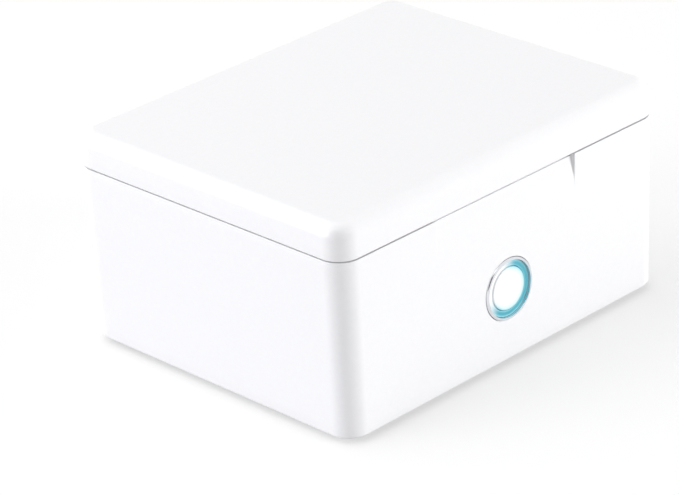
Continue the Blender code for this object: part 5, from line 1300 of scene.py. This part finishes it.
canForm = {
    "groove": (0.9 * mm, 1.2 * mm, 1.5 * mm), "grooveDepth": 0.3 * mm,
    "edge": 0.15 * mm, "small": 0.1 * mm, "crown": 0.35 * mm,
    "arm": 0.08 * mm, "reach": 1.7 * mm, "crossDepth": 0.12 * mm,
}


def capacitorPiece():
    # a drawn can with a rolled groove over its base and a shallow cross pressed into its top
    s = canForm
    low, high, radius, middle = roundOf("capacitor", "Z")
    start, bottom, end = (low + height for height in s["groove"])
    profile = roundedProfile([
        (pole, low, 0), (radius, low, s["edge"]), (radius, start, s["small"]),
        (radius - s["grooveDepth"], bottom, s["edge"]), (radius, end, s["small"]),
        (radius, high, s["crown"]), (pole, high, 0)], False)
    can = turnedPiece(
        "capacitor", profile, middle, "Z", "aluminium", "base", ["capacitor"], sides["hub"], False)
    cross = crossOutline(middle, s["arm"], s["reach"])
    carve(can, "DIFFERENCE", prismMesh(cross, high - s["crossDepth"], high + over, "Z"))


connectorForm = {
    "wall": 0.5 * mm, "corner": 0.2 * mm, "depth": 2.6 * mm, "edge": 0.15 * mm,
    "pin": 0.25 * mm, "pinEdge": 0.05 * mm, "pinX": 1 * mm, "pinRoot": 2.7 * mm, "pinSunk": 0.5 * mm,
}


def connectorPieces():
    # shrouded headers with two square pins; the mouth faces the lead
    s = connectorForm
    for name, axis, side in (("fan", "Y", -1), ("button", "Y", -1), ("lamp", "Z", 1)):
        node = name + "_connector"
        low, high, centre = boxOf(node)
        k, across = placesOf(axis)
        mouth = high[k] if side > 0 else low[k]
        halves = ((high[i] - low[i]) / 2 - s["wall"] for i in across)
        middle = (centre[across[0]], centre[across[1]])
        room = roundRect(middle, *halves, s["corner"])
        body = newPiece(name + "Connector", blockMesh(low, high, s["edge"]), "liner_plastic", "base", [node])
        carve(body, "DIFFERENCE", prismMesh(room, mouth - side * s["depth"], mouth + side * over, axis))
        pins = []
        for shift in (-s["pinX"], s["pinX"]):
            outline = roundRect((middle[0] + shift, middle[1]), s["pin"], s["pin"], s["pinEdge"], 2)
            pins.append(prismMesh(outline, mouth - side * s["pinRoot"], mouth - side * s["pinSunk"], axis))
        newPiece(name + "ConnectorPins", together(pins), "brass", "base")


blockEdges = {
    "switch": 0.25 * mm, "switchBore": 1.6 * mm, "switchDepth": 2.1 * mm,
    "sensor": 0.12 * mm, "heater": 0.3 * mm, "window": 0.15 * mm, "lamp": 0.15 * mm, "led": 0.12 * mm,
}


def switchBodyPiece():
    # the switch's body with the bore that its plunger runs in
    s = blockEdges
    body = softBlock("switch_body", s["switch"], "dark_plastic")
    low, high, centre = boxOf("switch_body")
    middle = (centre.x, centre.z)
    bore = rodMesh(s["switchBore"], low.y - over, low.y + s["switchDepth"], "Y", middle, sides["post"])
    carve(body, "DIFFERENCE", bore)


print("stage: electronics")
chipPieces()
capacitorPiece()
connectorPieces()
switchBodyPiece()
softBlock("lid_sensor", blockEdges["sensor"], "dark_plastic")
softBlock("heater_element", blockEdges["heater"], "ceramic")
softBlock("lamp_window", blockEdges["window"], "quartz")
softBlock("lamp_led", blockEdges["lamp"], "ceramic")
for name in ("upper_left", "upper_right", "lower_left", "lower_right"):
    softBlock("ring_led_" + name, blockEdges["led"], "ceramic")
rodPiece("switch_plunger", "Y", rodEdges["plunger"], "dark_plastic", "button")


# Every node that keeps its own shape takes its finish from its slot

slots = {row["node"]: row["material_slot"] for row in frame["record"]["subparts"]}
for name, node in nodes.items():
    node.data.materials.clear()
    node.data.materials.append(finishes[slots[name]])


# Camera, floor and light

view = {
    "place": (-444.449 * mm, -452.291 * mm, 320.561 * mm),
    "towards": (0.62421, 0.6496, -0.43403),
    "roll": -3.224, "lens": 181.3, "sensor": 36.0, "farthest": 20,
}


def addCamera():
    # looks along its direction, turned about it by the roll
    data = bpy.data.cameras.new("camera")
    data.lens = view["lens"]
    data.sensor_width = view["sensor"]
    data.clip_end = view["farthest"]
    camera = bpy.data.objects.new("camera", data)
    aim = Vector(view["towards"]).to_track_quat("-Z", "Y").to_matrix().to_4x4()
    roll = Matrix.Rotation(math.radians(view["roll"]), 4, "Z")
    camera.matrix_world = Matrix.Translation(view["place"]) @ aim @ roll
    bpy.context.scene.collection.objects.link(camera)
    bpy.context.scene.camera = camera


studio = {
    "floorSize": 6.0, "floorGap": 0.02 * mm, "floorColour": "#D9D9DA",
    "floorGlow": 0.5, "floorShade": 0.48,    # the floor as the lens sees it: its own white, share of light
    "world": 0.52, "distance": 1.4,
    # direction, size, share of light on a face that looks straight at it, colour, whether gloss shows it
    "lamps": {
        "lampTop": ((-0.4, 0.45, 1.0), 1.8, 0.69, "#FFFFFF", True),
        "lampLeft": ((-1.0, 0.5, 0.2), 0.9, 0.55, "#FAFAFF", True),
        "lampFront": ((0.75, -1.0, 0.13), 0.5, 0.90, "#FFFFFF", False),
    },
    # a black card that takes light from the near corner and shows in the chrome
    "cardPlace": (-0.75, -0.78, 0.5), "cardSize": (0.9, 1.0), "cardColour": "#1A1A1B",
}


def whiteRays(tree):
    # 1 for the rays that see the background straight, in metal or through glass
    path = addNode(tree, "ShaderNodeLightPath")
    first = addNode(tree, "ShaderNodeMath", {"operation": "MAXIMUM"}, {
        0: path.outputs["Is Camera Ray"], 1: path.outputs["Is Glossy Ray"]})
    return addNode(tree, "ShaderNodeMath", {"operation": "MAXIMUM"}, {
        0: first.outputs["Value"], 1: path.outputs["Is Transmission Ray"]}).outputs["Value"]


def addSheet(name, halfX, halfY, z, material):
    # a flat sheet of the studio, which isn't part of the object
    data = bpy.data.meshes.new(name)
    corners = [(-halfX, -halfY, z), (halfX, -halfY, z), (halfX, halfY, z), (-halfX, halfY, z)]
    data.from_pydata(corners, [], [(0, 1, 2, 3)])
    data.materials.append(material)
    sheet = bpy.data.objects.new(name, data)
    bpy.context.scene.collection.objects.link(sheet)
    return sheet


def lookBack(place):
    # stands at a place with its +Z side turned away from the object
    away = Vector(place)
    return Matrix.Translation(away) @ away.to_track_quat("Z", "Y").to_matrix().to_4x4()


def addStudio():
    # a plain white floor that keeps a soft shadow, a white world, three large soft lamps and the black card
    s = studio
    material = bpy.data.materials.new("paperSweep")
    material.use_nodes = True
    tree = material.node_tree
    tree.nodes.clear()
    paper = addNode(tree, "ShaderNodeBsdfDiffuse", {"Color": hexColour(s["floorColour"])})
    glow = addNode(tree, "ShaderNodeEmission", {"Strength": s["floorGlow"]})
    dim = addNode(tree, "ShaderNodeBsdfDiffuse", {"Color": (*[s["floorShade"]] * 3, 1)})
    seen = addNode(tree, "ShaderNodeAddShader", {}, {0: glow.outputs["Emission"], 1: dim.outputs["BSDF"]})
    pick = addNode(tree, "ShaderNodeMixShader", {}, {
        "Fac": whiteRays(tree), 1: paper.outputs["BSDF"], 2: seen.outputs["Shader"]})
    addNode(tree, "ShaderNodeOutputMaterial", {}, {"Surface": pick.outputs["Shader"]})
    addSheet("floor", s["floorSize"] / 2, s["floorSize"] / 2, -s["floorGap"], material)
    world = bpy.data.worlds.new("studioWorld")
    world.use_nodes = True
    bpy.context.scene.world = world
    tree = world.node_tree
    tree.nodes.clear()
    strength = addNode(
        tree, "ShaderNodeMapRange", {"To Min": s["world"], "To Max": 1.0}, {"Value": whiteRays(tree)})
    sky = addNode(
        tree, "ShaderNodeBackground", {"Color": (1, 1, 1, 1)}, {"Strength": strength.outputs["Result"]})
    addNode(tree, "ShaderNodeOutputWorld", {}, {"Surface": sky.outputs["Background"]})
    felt = newMaterial("blackFelt", {"Base Color": hexColour(s["cardColour"]), "Roughness": 1.0})[0]
    card = addSheet("blackCard", s["cardSize"][0] / 2, s["cardSize"][1] / 2, 0, felt)
    card.matrix_world = lookBack(s["cardPlace"])
    card.visible_camera = False
    for name, (direction, size, share, colour, shown) in s["lamps"].items():
        data = bpy.data.lights.new(name, "AREA")
        data.size = size
        data.energy = share * (math.pi * s["distance"]) ** 2
        data.color = hexColour(colour)[:3]
        lamp = bpy.data.objects.new(name, data)
        lamp.matrix_world = lookBack(Vector(direction).normalized() * s["distance"])
        lamp.visible_glossy = shown
        bpy.context.scene.collection.objects.link(lamp)


print("stage: studio")
addCamera()
addStudio()
bpy.context.scene.view_settings.view_transform = "Standard"
